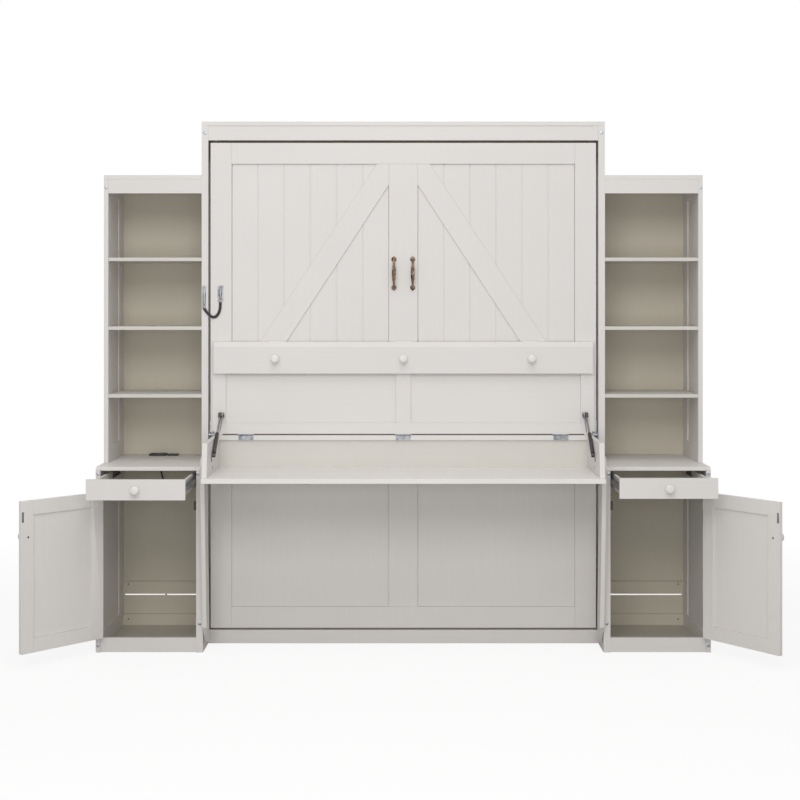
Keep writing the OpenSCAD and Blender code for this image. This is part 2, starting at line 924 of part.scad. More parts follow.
// ---- lid and fascia ----

module lid() {
    stile_in = lid_half - lid_stile_w;
    rail = stile_in - seam;
    mid = 31.5;
    y = [0, lid_t];
    top = lid_l - lid_stile_w;
    color(paint)
        at_hinge()
            difference() {
                union() {
                    both() {
                        block([stile_in, lid_half], y, [lid_gap, lid_l]);
                        block([mid + seam, rail], [7, 13],
                              [lid_rail_w + seam, top - seam]);
                    }
                    block([-rail, rail], y, [lid_gap, lid_rail_w]);
                    block([-rail, rail], y, [top, lid_l]);
                    block([-mid, mid], y, [lid_rail_w + seam, top - seam]);
                }
                both()
                    block([desk_half - 1, lid_half + 1], [-1, lid_t + 1], [0, 15]);
                for (x = hinge_xs) {
                    bar_x([x - lid_hinge_l / 2 - 1, x + lid_hinge_l / 2 + 1], [0, 0],
                          knuckle_r + clear);
                    block([x - lid_hinge_l / 2, x + lid_hinge_l / 2], [-1, lid_t - 2],
                          [0, lid_gap + leaf_t]);
                }
                for (x = fascia_hinge_xs)
                    bar_x([x - 31, x + 31], [fascia_y, fascia_z], fascia_knuckle_r + 0.5);
            }
}

// hinge leaves with their pins, and the struts' brackets
module lid_hardware() {
    plate_x = strut_x - strut_half - 7;
    color(steel) {
        at_hinge()
            for (x = hinge_xs)
                lid_leaf(x - lid_hinge_l / 2);
        both() {
            block([plate_x, plate_x + 3], [lid_stud[0] - 8, hinge_y],
                  [lid_stud[1] - 12, lid_stud[1] + 12]);
            bar_x([plate_x + 1, strut_x + strut_half], lid_stud, stud_r);
        }
    }
}

module lid_leaf(x0) {
    difference() {
        union() {
            block([x0, x0 + lid_hinge_l], [0, lid_t - 2], [lid_gap, lid_gap + leaf_t]);
            knuckles(x0, lid_hinge_l, 1, [0, 0], knuckle_r);
        }
        for (i = [0, 2, 4])
            bar_x([x0 + i * lid_hinge_l / 5 - seam, x0 + (i + 1) * lid_hinge_l / 5 + seam],
                  [0, 0], knuckle_r + clear);
    }
    bar_x([x0, x0 + lid_hinge_l], [0, 0], hinge_pin_r);
}

// long leaves, in the gap between the lid and the board that hangs on it
module fascia_hinges() {
    color(steel)
        at_hinge()
            for (x = fascia_hinge_xs) {
                bar_x([x - 30, x + 30], [fascia_y, fascia_z], fascia_knuckle_r);
                block([x - 30, x + 30], [fascia_y + 0.15, -0.15],
                      [fascia_z - fascia_leaf_l, fascia_z]);
            }
}

module fascia_board() {
    front_y = fascia_y - fascia_t;
    color(paint)
        at_hinge()
            difference() {
                plate_yz([[front_y, fascia_z - fascia_h], [fascia_y, fascia_z - fascia_h],
                          [fascia_y, fascia_z], [front_y + 5, fascia_z],
                          [front_y, fascia_z - 21]], [-desk_half, desk_half]);
                for (x = fascia_hinge_xs)
                    bar_x([x - 31, x + 31], [fascia_y, fascia_z], fascia_knuckle_r + 0.5);
            }
}

module fascia_knobs() {
    color("#ece9e2")
        at_hinge()
            for (x = [-1, 0, 1] * fascia_knob_x)
                translate([x, fascia_y - fascia_t, fascia_knob_z])
                    knob();
}

// ---- lid struts ----

// each bush ends in a flat link that lies beside its strut
module strut_bushes() {
    link = [strut_x - strut_r - clear - strut_link_t, strut_x - strut_r - clear];
    color(steel)
        both()
            difference() {
                union() {
                    bar_x([link[0], strut_x + strut_half], lid_stud, stud_r + 2.5);
                    bar_x(link, lid_stud, strut_link_w / 2 + 3);
                    translate([link[0], lid_stud[0], lid_stud[1]])
                        rotate([strut_angle - 90, 0, 0])
                            translate([0.2, -strut_link_w / 2, strut_link_w / 2 - 1])
                                cube([strut_link_t - 0.4, strut_link_w, strut_link_l]);
                }
                bar_x([link[0] - 1, strut_x + strut_half + 1], lid_stud, stud_r + pin_clear);
            }
}

module strut_rods() {
    color(steel)
        both()
            difference() {
                union() {
                    bar_x([strut_x - strut_half, strut_x + strut_half], lid_stud, stud_r + 6);
                    bar_from(strut_x, lid_stud, strut_angle, [8, strut_start + 20], strut_rod_r);
                }
                bar_x([strut_x - strut_half - 1, strut_x + strut_half + 1], lid_stud,
                      stud_r + 2.5 + pin_clear);
            }
}

module strut_cylinders() {
    strut_end = strut_start + strut_cylinder_l;
    color(black)
        both()
            difference() {
                union() {
                    bar_from(strut_x, lid_stud, strut_angle, [strut_start, strut_end], strut_r);
                    bar_from(strut_x, lid_stud, strut_angle, [strut_end - 1, strut_l - 5], 5);
                    bar_x([strut_x - strut_half, strut_x + strut_half], cheek_stud, 8);
                }
                bar_from(strut_x, lid_stud, strut_angle, [strut_start - 1, strut_end - 2],
                         strut_rod_r + 0.1);
                bar_x([strut_x - strut_half - 1, strut_x + strut_half + 1], cheek_stud, stud_r);
            }
}

// ---- bed lifts ----

module lift_cylinders() {
    color(black)
        both()
            difference() {
                union() {
                    bar_x([lift_x - lift_half, lift_x + lift_half], lift_top, 10);
                    bar_from(lift_x, lift_top, lift_angle,
                             [lift_start, lift_start + lift_cylinder_l], lift_r);
                }
                bar_x([lift_x - lift_half - 1, lift_x + lift_half + 1], lift_top,
                      lift_rod_r + pin_clear);
                bar_from(lift_x, lift_top, lift_angle, [60, lift_start + lift_cylinder_l + 1],
                         lift_rod_r + 0.1);
            }
}

module lift_rods() {
    color(steel)
        both()
            difference() {
                union() {
                    bar_from(lift_x, lift_top, lift_angle,
                             [lift_start + lift_cylinder_l - 15, lift_l - 6], lift_rod_r);
                    bar_x([lift_x - lift_half, lift_x + lift_half], lift_foot, 9);
                }
                bar_x([lift_x - lift_half - 1, lift_x + lift_half + 1], lift_foot, 4);
            }
}

// ---- doors, drawn closed on the +X side and swung open about their hinge pins ----

module swung(angle) {
    translate([door_pivot_x, door_pivot_y, 0])
        rotate([0, 0, angle])
            translate([-door_pivot_x, -door_pivot_y, 0])
                children();
}

module door(angle) {
    y = [base_front, base_front + door_t];
    inner = [door_in + door_frame_w, door_out - door_frame_w];
    panel_y = base_front + (door_t - door_panel_t) / 2;
    swung(angle) {
        block([door_in, inner[0]], y, [door_z0, door_z1]);
        block([inner[1], door_out], y, [door_z0, door_z1]);
        for (z = [door_z0, door_z1 - door_frame_w])
            block([inner[0] + seam, inner[1] - seam], y, [z, z + door_frame_w]);
        block([inner[0] + seam, inner[1] - seam], [panel_y, panel_y + door_panel_t],
              [door_z0 + door_frame_w + seam, door_z1 - door_frame_w - seam]);
    }
}

module door_knob(angle) {
    swung(angle)
        translate([door_in + door_knob_in, base_front, door_knob_z])
            knob();
}

module door_leaves(angle) {
    third = door_hinge_l / 3;
    swung(angle)
        for (z = door_hinge_zs) {
            difference() {
                union() {
                    block([door_out, door_out + 1], [door_pivot_y, base_front + door_t],
                          [z, z + door_hinge_l]);
                    translate([door_pivot_x, door_pivot_y, z + third])
                        cylinder(h = third, r = knuckle_r);
                }
                for (k = [0, 2])
                    translate([door_pivot_x, door_pivot_y, z + k * third - seam])
                        cylinder(h = third + 2 * seam, r = knuckle_r + clear);
            }
            translate([door_pivot_x, door_pivot_y, z])
                cylinder(h = door_hinge_l, r = hinge_pin_r);
        }
}

module left_door() {
    color(paint)
        left()
            door(left_door_angle);
}

module left_door_knob() {
    color("#ece9e2")
        left()
            door_knob(left_door_angle);
}

module left_door_hinges() {
    color(steel)
        left()
            door_leaves(left_door_angle);
}

module right_door() {
    color(paint)
        door(right_door_angle);
}

module right_door_knob() {
    color("#ece9e2")
        door_knob(right_door_angle);
}

module right_door_hinges() {
    color(steel)
        door_leaves(right_door_angle);
}

// ---- drawers, drawn on the +X side and pulled out ----

module drawer_front(pull) {
    translate([0, -pull, 0])
        block([door_in, door_out], [base_front, drawer_y], [drawer_z0, drawer_z1]);
}

module drawer_box(pull) {
    z = [box_z0, box_z1];
    inner = [box_in + drawer_t + seam, box_out - drawer_t - seam];
    back = drawer_y + drawer_l - drawer_t;
    translate([0, -pull, 0]) {
        block([box_in, box_in + drawer_t], [drawer_y, drawer_y + drawer_l], z);
        block([box_out - drawer_t, box_out], [drawer_y, drawer_y + drawer_l], z);
        block(inner, [drawer_y, drawer_y + drawer_t], z);
        block(inner, [back, drawer_y + drawer_l], [box_z0, box_z0 + 24]);
        block(inner, [drawer_y + drawer_t + seam, back - seam], [box_z0 + 6, box_z0 + 10]);
    }
}

module drawer_knob(pull) {
    translate([drawer_mid, base_front - pull, (drawer_z0 + drawer_z1) / 2])
        knob();
}

module drawer_slides(pull) {
    bead = slide_h / 2 - 5.5;
    mid_z = slide_z + slide_h / 2;
    y = [drawer_y + 2, drawer_y + 2 + drawer_l - 4];
    translate([0, -pull, 0])
        for (flip = [0, 1])
            translate([flip * 2 * drawer_mid, 0, 0])
                mirror([flip, 0, 0])
                    union() {
                        block([outer + 6 + clear, box_in], y,
                              [slide_z + 2, slide_z + slide_h - 2]);
                        block([outer + 2.6, outer + 7], y, [mid_z - bead, mid_z + bead]);
                    }
}

module left_drawer_front() {
    color(paint)
        left()
            drawer_front(left_pull);
}

module left_drawer_box() {
    color(inside)
        left()
            drawer_box(left_pull);
}

module left_drawer_knob() {
    color("#ece9e2")
        left()
            drawer_knob(left_pull);
}

module left_drawer_slides() {
    color(steel)
        left()
            drawer_slides(left_pull);
}

module right_drawer_front() {
    color(paint)
        drawer_front(right_pull);
}

module right_drawer_box() {
    color(inside)
        drawer_box(right_pull);
}

module right_drawer_knob() {
    color("#ece9e2")
        drawer_knob(right_pull);
}

module right_drawer_slides() {
    color(steel)
        drawer_slides(right_pull);
}

centre_sides();
top_boards();
front_rails();
toe_boards();
floor_boards();
wall_rails();
tower_sides();
shelves();
back_panels();
base_sides();
counters();
drawer_rails();
magnet_catches();
cabinet_hardware();
power_outlet();
power_cord();
cord_coil();
cord_tail();
cord_plug();
bed_face_frame();
bed_planks();
bed_braces();
bed_lower_panels();
bed_rails();
bed_centre_beam();
bed_slats();
bed_pull_handles();
bed_hardware();
safety_strap();
desktop();
desk_back_board();
lid_hinge_rail();
desk_cheeks();
desk_hardware();
left_arm();
right_arm();
lid();
lid_hardware();
fascia_hinges();
fascia_board();
fascia_knobs();
strut_bushes();
strut_rods();
strut_cylinders();
lift_cylinders();
lift_rods();
left_door();
left_door_knob();
left_door_hinges();
right_door();
right_door_knob();
right_door_hinges();
left_drawer_front();
left_drawer_box();
left_drawer_knob();
left_drawer_slides();
right_drawer_front();
right_drawer_box();
right_drawer_knob();
right_drawer_slides();
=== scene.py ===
import math
import bpy
import bmesh
from mathutils import Matrix, Vector


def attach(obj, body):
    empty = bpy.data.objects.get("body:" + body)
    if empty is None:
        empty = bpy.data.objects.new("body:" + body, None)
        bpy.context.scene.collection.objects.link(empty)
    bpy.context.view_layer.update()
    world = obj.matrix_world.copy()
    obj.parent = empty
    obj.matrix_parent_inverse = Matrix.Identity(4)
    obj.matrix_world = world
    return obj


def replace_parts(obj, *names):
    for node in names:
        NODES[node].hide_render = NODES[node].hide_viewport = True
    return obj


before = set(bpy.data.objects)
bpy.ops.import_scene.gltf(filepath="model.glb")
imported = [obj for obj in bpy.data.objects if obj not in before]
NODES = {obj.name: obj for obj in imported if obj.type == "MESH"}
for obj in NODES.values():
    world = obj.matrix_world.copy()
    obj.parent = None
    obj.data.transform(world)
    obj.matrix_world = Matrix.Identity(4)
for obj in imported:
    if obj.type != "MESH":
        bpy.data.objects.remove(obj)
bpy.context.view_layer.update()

# ---- sizes in metres, in the frame of the CAD model ----
FRONT = -0.190  # the front of the centre cabinet and the towers
BASE_FRONT = FRONT - 0.166  # the front of the two bases
BACK_RAIL_Y = 0.140  # the front of the bases' back rails
COUNTER_TOP = 0.770
HINGE = Vector((0, FRONT - 0.022, 0.890))  # the middle of the lid's hinge line
DOOR_PIN = (1.25675, FRONT - 0.1698)  # x and y of the right door's hinge pins
DOOR_KNOB = (0.8935, 0.524)  # x and z on the right door while it is closed
DOOR_ANGLE = {"left": math.radians(132), "right": math.radians(127)}  # open at rest
DRAWER_X = 1.059  # the middle of the right drawer
DRAWER_KNOB_Z = 0.711
PULL = {"left": 0.290, "right": 0.243}  # how far the drawers are out at rest
PLANK_FACE = FRONT + 0.006  # the front of the bed's planks
PLANK_TOP, PLANK_LOW = 2.0436, 0.9006

# ---- camera: level, with the photograph's framing ----
EYE_HEIGHT = 1.4426
EYE_DISTANCE = 6.250  # from the front of the centre cabinet
PIXELS_PER_METRE = 234.5  # at that distance
MIDDLE_COLUMN = 403.3
HORIZON_ROW = 305.0
IMAGE = 800.0
FILM_WIDTH = 36
CLIP_END = 60

camera = bpy.data.cameras.new("camera")
camera.sensor_width = FILM_WIDTH
camera.lens = FILM_WIDTH * PIXELS_PER_METRE * EYE_DISTANCE / IMAGE
camera.shift_x = -(MIDDLE_COLUMN - IMAGE / 2) / IMAGE
camera.shift_y = -(IMAGE / 2 - HORIZON_ROW) / IMAGE
camera.clip_end = CLIP_END
camera_object = bpy.data.objects.new("camera", camera)
camera_object.location = (0, FRONT - EYE_DISTANCE, EYE_HEIGHT)
camera_object.rotation_euler = (math.pi / 2, 0, 0)
bpy.context.scene.collection.objects.link(camera_object)
bpy.context.scene.camera = camera_object

# ---- mesh helpers ----
CREASE = 35  # degrees: edges that turn more than this stay sharp
TURNED_CREASE, ROUND_CREASE = 50, 60
ON_AXIS = 1e-6


def new_object(name, data):
    obj = bpy.data.objects.new(name, data)
    bpy.context.scene.collection.objects.link(obj)
    return obj


def from_bmesh(name, bm, crease=CREASE):
    mesh = bpy.data.meshes.new(name)
    bmesh.ops.recalc_face_normals(bm, faces=bm.faces)
    limit = math.radians(crease)
    for face in bm.faces:
        face.smooth = True
    for edge in bm.edges:
        if len(edge.link_faces) != 2 or edge.calc_face_angle() > limit:
            edge.smooth = False
    bm.to_mesh(mesh)
    bm.free()
    return new_object(name, mesh)


def circle(radius, sides):
    return [(radius * math.cos(2 * math.pi * k / sides),
             radius * math.sin(2 * math.pi * k / sides)) for k in range(sides)]


def add_lathe(bm, profile, matrix, segments):
    """A turned shape: profile is a list of (radius, height) along the matrix's Z axis."""
    rings = []
    for radius, height in profile:
        if radius < ON_AXIS:
            rings.append([bm.verts.new(matrix @ Vector((0, 0, height)))])
        else:
            rings.append([bm.verts.new(matrix @ Vector((x, y, height)))
                          for x, y in circle(radius, segments)])
    for below, above in zip(rings, rings[1:]):
        for k in range(segments):
            m = (k + 1) % segments
            if len(below) == 1 and len(above) == 1:
                continue
            if len(below) == 1:
                bm.faces.new((below[0], above[k], above[m]))
            elif len(above) == 1:
                bm.faces.new((below[k], above[0], below[m]))
            else:
                bm.faces.new((below[k], below[m], above[m], above[k]))
    for end in (rings[0], rings[-1]):
        if len(end) > 1:
            bm.faces.new(end)


def about(middle, half):
    return middle - half, middle + half


def add_block(bm, xs, ys, zs, matrix=Matrix(), bevel=0.0):
    """A block from xs[0] to xs[1] and so on, with its edges rounded when bevel isn't 0."""
    corners = bmesh.ops.create_cube(bm, size=1)["verts"]
    low, high = (Vector((xs[end], ys[end], zs[end])) for end in (0, 1))
    size = high - low
    middle = (high + low) / 2
    for v in corners:
        v.co = Vector((v.co.x * size.x, v.co.y * size.y, v.co.z * size.z)) + middle
    if bevel:
        edges = list(dict.fromkeys(e for v in corners for e in v.link_edges))
        made = bmesh.ops.bevel(bm, geom=edges, offset=bevel, segments=3, profile=0.5,
                               affect="EDGES")
        corners = list(dict.fromkeys(v for f in made["faces"] for v in f.verts))
    for v in corners:
        v.co = matrix @ v.co


def smooth_path(points, steps):
    """A Catmull-Rom curve through the points."""
    points = [Vector(p) for p in points]
    path = []
    for i in range(len(points) - 1):
        a = points[max(i - 1, 0)]
        b, c = points[i], points[i + 1]
        d = points[min(i + 2, len(points) - 1)]
        for s in range(steps):
            t = s / steps
            path.append(0.5 * ((2 * b) + (c - a) * t + (2 * a - 5 * b + 4 * c - d) * t * t
                               + (3 * b - a - 3 * c + d) * t ** 3))
    path.append(points[-1])
    return path


def path_frames(path, first):
    """A side and an up direction for each point, turned as little as possible."""
    frames = []
    side = Vector(first)
    for i in range(len(path)):
        along = (path[min(i + 1, len(path) - 1)] - path[max(i - 1, 0)]).normalized()
        side = (side - along * side.dot(along)).normalized()
        frames.append((side.copy(), along.cross(side)))
    return frames


def add_sweep(bm, path, section, first, scales=None):
    """section is a list of (side, up) offsets; scales may change its size at each point."""
    path = [Vector(p) for p in path]
    rings = []
    for i, (point, (side, up)) in enumerate(zip(path, path_frames(path, first))):
        k = scales[i] if scales else 1.0
        rings.append([bm.verts.new(point + side * s * k + up * u * k) for s, u in section])
    n = len(section)
    for below, above in zip(rings, rings[1:]):
        for j in range(n):
            bm.faces.new((below[j], below[(j + 1) % n], above[(j + 1) % n], above[j]))
    bm.faces.new(rings[0])
    bm.faces.new(rings[-1])


# ---- places ----
MIRROR = Matrix.Diagonal((-1, 1, 1, 1))
TURN_BACK = Matrix.Rotation(-math.pi / 2, 4, "X")  # the Z axis points to the back, along +Y


def along_front(x, y, z):
    """Matrix whose Z axis points out of the front, along -Y."""
    return Matrix.Translation((x, y, z)) @ Matrix.Rotation(math.pi / 2, 4, "X")


def swung(side):
    """From a door's closed place on the right to its open place on that side."""
    x, y = DOOR_PIN
    opened = (Matrix.Translation((x, y, 0)) @ Matrix.Rotation(DOOR_ANGLE[side], 4, "Z")
              @ Matrix.Translation((-x, -y, 0)))
    return MIRROR @ opened if side == "left" else opened


def pulled(side):
    """From a drawer's closed place on the right to its pulled place on that side."""
    out = Matrix.Translation((0, -PULL[side], 0))
    return MIRROR @ out if side == "left" else out


# ---- materials ----
class Tree:
    """The node tree of a material or of the world.

    A node's inputs are a dictionary from an input's name or number to a value or to
    another node's output.
    """

    def __init__(self, owner):
        owner.use_nodes = True
        self.owner = owner
        self.nodes = owner.node_tree.nodes
        self.links = owner.node_tree.links

    def feed(self, node, inputs):
        for key, value in inputs.items():
            if isinstance(value, bpy.types.NodeSocket):
                self.links.new(value, node.inputs[key])
            else:
                node.inputs[key].default_value = value

    def add(self, kind, inputs=None, **settings):
        """Adds a node and returns its outputs."""
        node = self.nodes.new("ShaderNode" + kind)
        for name, value in settings.items():
            setattr(node, name, value)
        self.feed(node, inputs or {})
        return node.outputs

    def place(self):
        return self.add("TexCoord")["Object"]

    def noise(self, scale, detail, roughness=0.5):
        """scale is the number of waves in a metre, one for all axes or one for each."""
        scale = scale if isinstance(scale, tuple) else (scale, scale, scale)
        place = self.add("Mapping", {"Scale": scale, "Vector": self.place()})["Vector"]
        return self.add("TexNoise", {"Scale": 1.0, "Detail": detail, "Roughness": roughness,
                                     "Vector": place})["Fac"]

    def spread(self, source, low, high, start=0.3, end=0.7):
        """Maps a texture's value from start..end to low..high."""
        return self.add("MapRange", {"From Min": start, "From Max": end, "To Min": low,
                                     "To Max": high, "Value": source})["Result"]

    def mix(self, factor, a, b, blend="MIX"):
        return self.add("Mix", {"Factor": factor, "A": a, "B": b}, data_type="RGBA",
                        blend_type=blend)["Result"]

    def tint(self, factor, dark, light):
        return self.mix(factor, (*dark, 1), (*light, 1))

    def clouded(self, source, dark, light):
        """A tone between dark and light, over the middle of a texture's range."""
        return self.tint(self.spread(source, 0, 1), dark, light)

    def bump(self, height, distance, strength, below=None):
        inputs = {"Distance": distance, "Strength": strength, "Height": height}
        if below is not None:
            inputs["Normal"] = below
        return self.add("Bump", inputs)["Normal"]

    def surface(self, inputs):
        """Feeds the surface's shader and returns the material."""
        self.feed(self.nodes["Principled BSDF"], inputs)
        return self.owner


WHITE = (1, 1, 1)
GRAIN = {"x": (5, 150, 150), "y": (150, 5, 150), "z": (150, 150, 5)}
PAINT_THIN = 0.965  # where the cover is thinnest, as a share of the full colour
GRAIN_SHADE, GRAIN_STRENGTH = (0.93, 0.925, 0.91), 0.35
PINE_DARK, PINE_LIGHT = (0.52, 0.36, 0.20), (0.74, 0.58, 0.38)
PINE_SHADE, PINE_STRENGTH = (0.85, 0.80, 0.74), 0.5


def painted(name, color, grain, roughness=0.45):
    """Sprayed satin paint over wood: a faint raised grain, a fine stipple and uneven cover."""
    tree = Tree(bpy.data.materials.new(name))
    cover = tree.noise(2.2, 4)
    wood = tree.noise(GRAIN[grain], 4, 0.6)
    stipple = tree.noise(700, 2)
    shade = tree.clouded(cover, tuple(c * PAINT_THIN for c in color), color)
    streaks = tree.clouded(wood, GRAIN_SHADE, WHITE)
    raised = tree.bump(wood, 0.0004, 0.35)
    return tree.surface({
        "Base Color": tree.mix(GRAIN_STRENGTH, shade, streaks, "MULTIPLY"),
        "Roughness": tree.spread(wood, roughness - 0.06, roughness + 0.08),
        "Specular IOR Level": 0.4,
        "Normal": tree.bump(stipple, 0.0001, 0.5, raised)})


def timber(name, grain):
    """Bare pine: a grain along the board over slow changes of tone."""
    tree = Tree(bpy.data.materials.new(name))
    wood = tree.noise(GRAIN[grain], 5, 0.65)
    slow = tree.noise(1.5, 2)
    tone = tree.clouded(wood, PINE_DARK, PINE_LIGHT)
    board = tree.clouded(slow, PINE_SHADE, WHITE)
    return tree.surface({
        "Base Color": tree.mix(PINE_STRENGTH, tone, board, "MULTIPLY"),
        "Roughness": tree.spread(wood, 0.42, 0.6),
        "Normal": tree.bump(wood, 0.0005, 0.4)})


def metal(name, dark, light, roughness, scratch=(900, 900, 40), metallic=1.0):
    """Metal with a slow change of tone and fine scratches."""
    tree = Tree(bpy.data.materials.new(name))
    brushed = tree.noise(scratch, 3)
    return tree.surface({
        "Base Color": tree.clouded(tree.noise(60, 4), dark, light),
        "Roughness": tree.spread(brushed, roughness - 0.07, roughness + 0.1),
        "Metallic": metallic,
        "Normal": tree.bump(brushed, 0.00006, 0.5)})


def moulded(name, dark, light, roughness, grit=1500):
    """Moulded plastic or rubber with a fine grit."""
    tree = Tree(bpy.data.materials.new(name))
    fine = tree.noise(grit, 2)
    return tree.surface({
        "Base Color": tree.clouded(tree.noise(30, 3), dark, light),
        "Roughness": tree.spread(fine, roughness - 0.06, roughness + 0.08),
        "Normal": tree.bump(fine, 0.00008, 0.6)})


def ribbed_webbing(name, dark, light):
    """Nylon webbing: cross ribs over a fine weave."""
    tree = Tree(bpy.data.materials.new(name))
    ribs = tree.add("TexWave", {"Scale": 320, "Distortion": 0.6, "Vector": tree.place()})["Fac"]
    weave = tree.noise(2500, 2)
    return tree.surface({
        "Base Color": tree.tint(ribs, dark, light),
        "Roughness": 0.75,
        "Sheen Weight": 0.25,
        "Normal": tree.bump(weave, 0.0002, 0.6, tree.bump(ribs, 0.0004, 0.6))})


OFF_WHITE = (0.715, 0.692, 0.678)
# Painted shade: a darker copy of the off-white paint for shelves, rails, drawer boxes and the
# desk's back board, which stand in shade.
SHADED_INNER_WHITE = (0.640, 0.622, 0.585)
# Painted shade: a darker, warmer copy of the paint for the back panels deep in the towers and
# cupboards, where shade falls.
SHADED_WARM_INNER = (0.620, 0.578, 0.480)
# Painted light: a brighter copy of the off-white paint for the open doors, lighter than the
# lamps alone make them.
LIT_DOOR_WHITE = (0.770, 0.745, 0.730)
# Painted light: a brighter copy of the paint for the desktop and counters, whose upward faces
# look lit from above.
LIT_TOP_WHITE = (0.785, 0.762, 0.742)
# Painted shade: the darkest copy of the paint, for the cupboards' floor boards, where light
# from above and the front is blocked.
SHADED_DIM_INNER = (0.560, 0.540, 0.470)
KNOB_WHITE = (0.76, 0.745, 0.715)
# The letter after a board's material is the axis that its grain runs along.
M = {
    "paint_z": painted("paint_upright", OFF_WHITE, "z"),
    "paint_x": painted("paint_crosswise", OFF_WHITE, "x"),
    "paint_y": painted("paint_depthwise", OFF_WHITE, "y"),
    "shaded_inner_x": painted("shaded_inner_paint_crosswise", SHADED_INNER_WHITE, "x", 0.55),
    "shaded_inner_y": painted("shaded_inner_paint_depthwise", SHADED_INNER_WHITE, "y", 0.55),
    "shaded_warm_z": painted("shaded_warm_inner_upright", SHADED_WARM_INNER, "z", 0.55),
    "door_z": painted("lit_door_paint_upright", LIT_DOOR_WHITE, "z"),
    "lit_top_x": painted("lit_worktop_paint", LIT_TOP_WHITE, "x"),
    "shaded_dim_x": painted("shaded_dim_inner_crosswise", SHADED_DIM_INNER, "x", 0.6),
    "knob": painted("knob_paint", KNOB_WHITE, "z", 0.3),
    "pine_z": timber("pine_upright", "z"),
    "pine_x": timber("pine_crosswise", "x"),
    "zinc": metal("zinc_plate", (0.15, 0.16, 0.175), (0.33, 0.345, 0.365), 0.38),
    "dull_steel": metal("dull_steel", (0.20, 0.20, 0.20), (0.34, 0.34, 0.335), 0.45),
    "chrome": metal("polished_rod", (0.42, 0.41, 0.42), (0.60, 0.585, 0.60), 0.24),
    "nickel": metal("nickel", (0.12, 0.10, 0.09), (0.36, 0.32, 0.30), 0.34),
    "bronze": metal("bronze", (0.07, 0.045, 0.03), (0.40, 0.285, 0.20), 0.28, (300, 300, 300)),
    "black_metal": metal("black_enamel", (0.012, 0.012, 0.014), (0.030, 0.029, 0.031), 0.34,
                         metallic=0.0),
    "grey_metal": metal("dark_strut", (0.055, 0.045, 0.048), (0.11, 0.095, 0.10), 0.36,
                        metallic=0.6),
    "bolt": metal("bolt_cap", (0.30, 0.33, 0.40), (0.48, 0.51, 0.58), 0.4),
    "dark_brown": moulded("dark_brown_plastic", (0.045, 0.030, 0.028), (0.085, 0.058, 0.052),
                          0.5),
    "black": moulded("black_plastic", (0.012, 0.012, 0.014), (0.026, 0.026, 0.029), 0.42),
    "rubber": moulded("cord_jacket", (0.010, 0.010, 0.011), (0.022, 0.022, 0.024), 0.5, 900),
    "webbing": ribbed_webbing("webbing", (0.011, 0.011, 0.013), (0.035, 0.034, 0.04)),
}
BOARDS = {
    "centre_sides": "paint_z", "top_boards": "paint_x", "front_rails": "paint_x",
    "toe_boards": "paint_x", "floor_boards": "shaded_dim_x", "wall_rails": "shaded_inner_x",
    "tower_sides": "paint_z", "shelves": "shaded_inner_x", "back_panels": "shaded_warm_z",
    "base_sides": "paint_z", "counters": "lit_top_x", "bed_face_frame": "paint_z",
    "bed_planks": "paint_z", "bed_braces": "paint_z", "bed_lower_panels": "paint_z",
    "desktop": "lit_top_x", "desk_back_board": "shaded_inner_x", "lid_hinge_rail": "paint_x",
    "desk_cheeks": "paint_y", "left_arm": "paint_z", "right_arm": "paint_z", "lid": "paint_x",
    "fascia_board": "paint_x", "left_door": "door_z", "right_door": "door_z",
    "left_drawer_front": "paint_x", "right_drawer_front": "paint_x",
    "left_drawer_box": "shaded_inner_y", "right_drawer_box": "shaded_inner_y", "bed_rails": "pine_z",
    "bed_centre_beam": "pine_z", "bed_slats": "pine_x",
}
FITTINGS = {
    "drawer_rails": "black_metal", "left_drawer_slides": "zinc",
    "right_drawer_slides": "zinc", "cabinet_hardware": "zinc", "bed_hardware": "zinc",
    "desk_hardware": "zinc", "lid_hardware": "zinc", "fascia_hinges": "paint_x",
    "strut_bushes": "zinc", "strut_rods": "chrome", "strut_cylinders": "grey_metal",
    "lift_cylinders": "black_metal", "lift_rods": "chrome", "left_door_hinges": "zinc",
    "right_door_hinges": "zinc", "magnet_catches": "dark_brown",
}
PLAIN_EDGED = ("wall_rails",)  # eased edges would streak the long faces round the bolt holes
EASE_WIDTH, EASE_SEGMENTS = 0.0012, 2
EASE_OVER = math.radians(40)  # edges that turn more than this are eased
WELD_UNDER = 0.00001


def give(obj, key):
    obj.data.materials.clear()
    obj.data.materials.append(M[key])


def eased(obj):
    """Eases a board's edges."""
    weld = obj.modifiers.new("weld", "WELD")
    weld.merge_threshold = WELD_UNDER
    ease = obj.modifiers.new("ease", "BEVEL")
    ease.width = EASE_WIDTH
    ease.segments = EASE_SEGMENTS
    ease.limit_method = "ANGLE"
    ease.angle_limit = EASE_OVER
    ease.harden_normals = True


for name, key in BOARDS.items():
    give(NODES[name], key)
    if name not in PLAIN_EDGED:
        eased(NODES[name])
for name, key in FITTINGS.items():
    give(NODES[name], key)


def piece(name, bm, body, key, crease=CREASE):
    obj = from_bmesh(name, bm, crease)
    give(obj, key)
    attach(obj, body)
    return obj


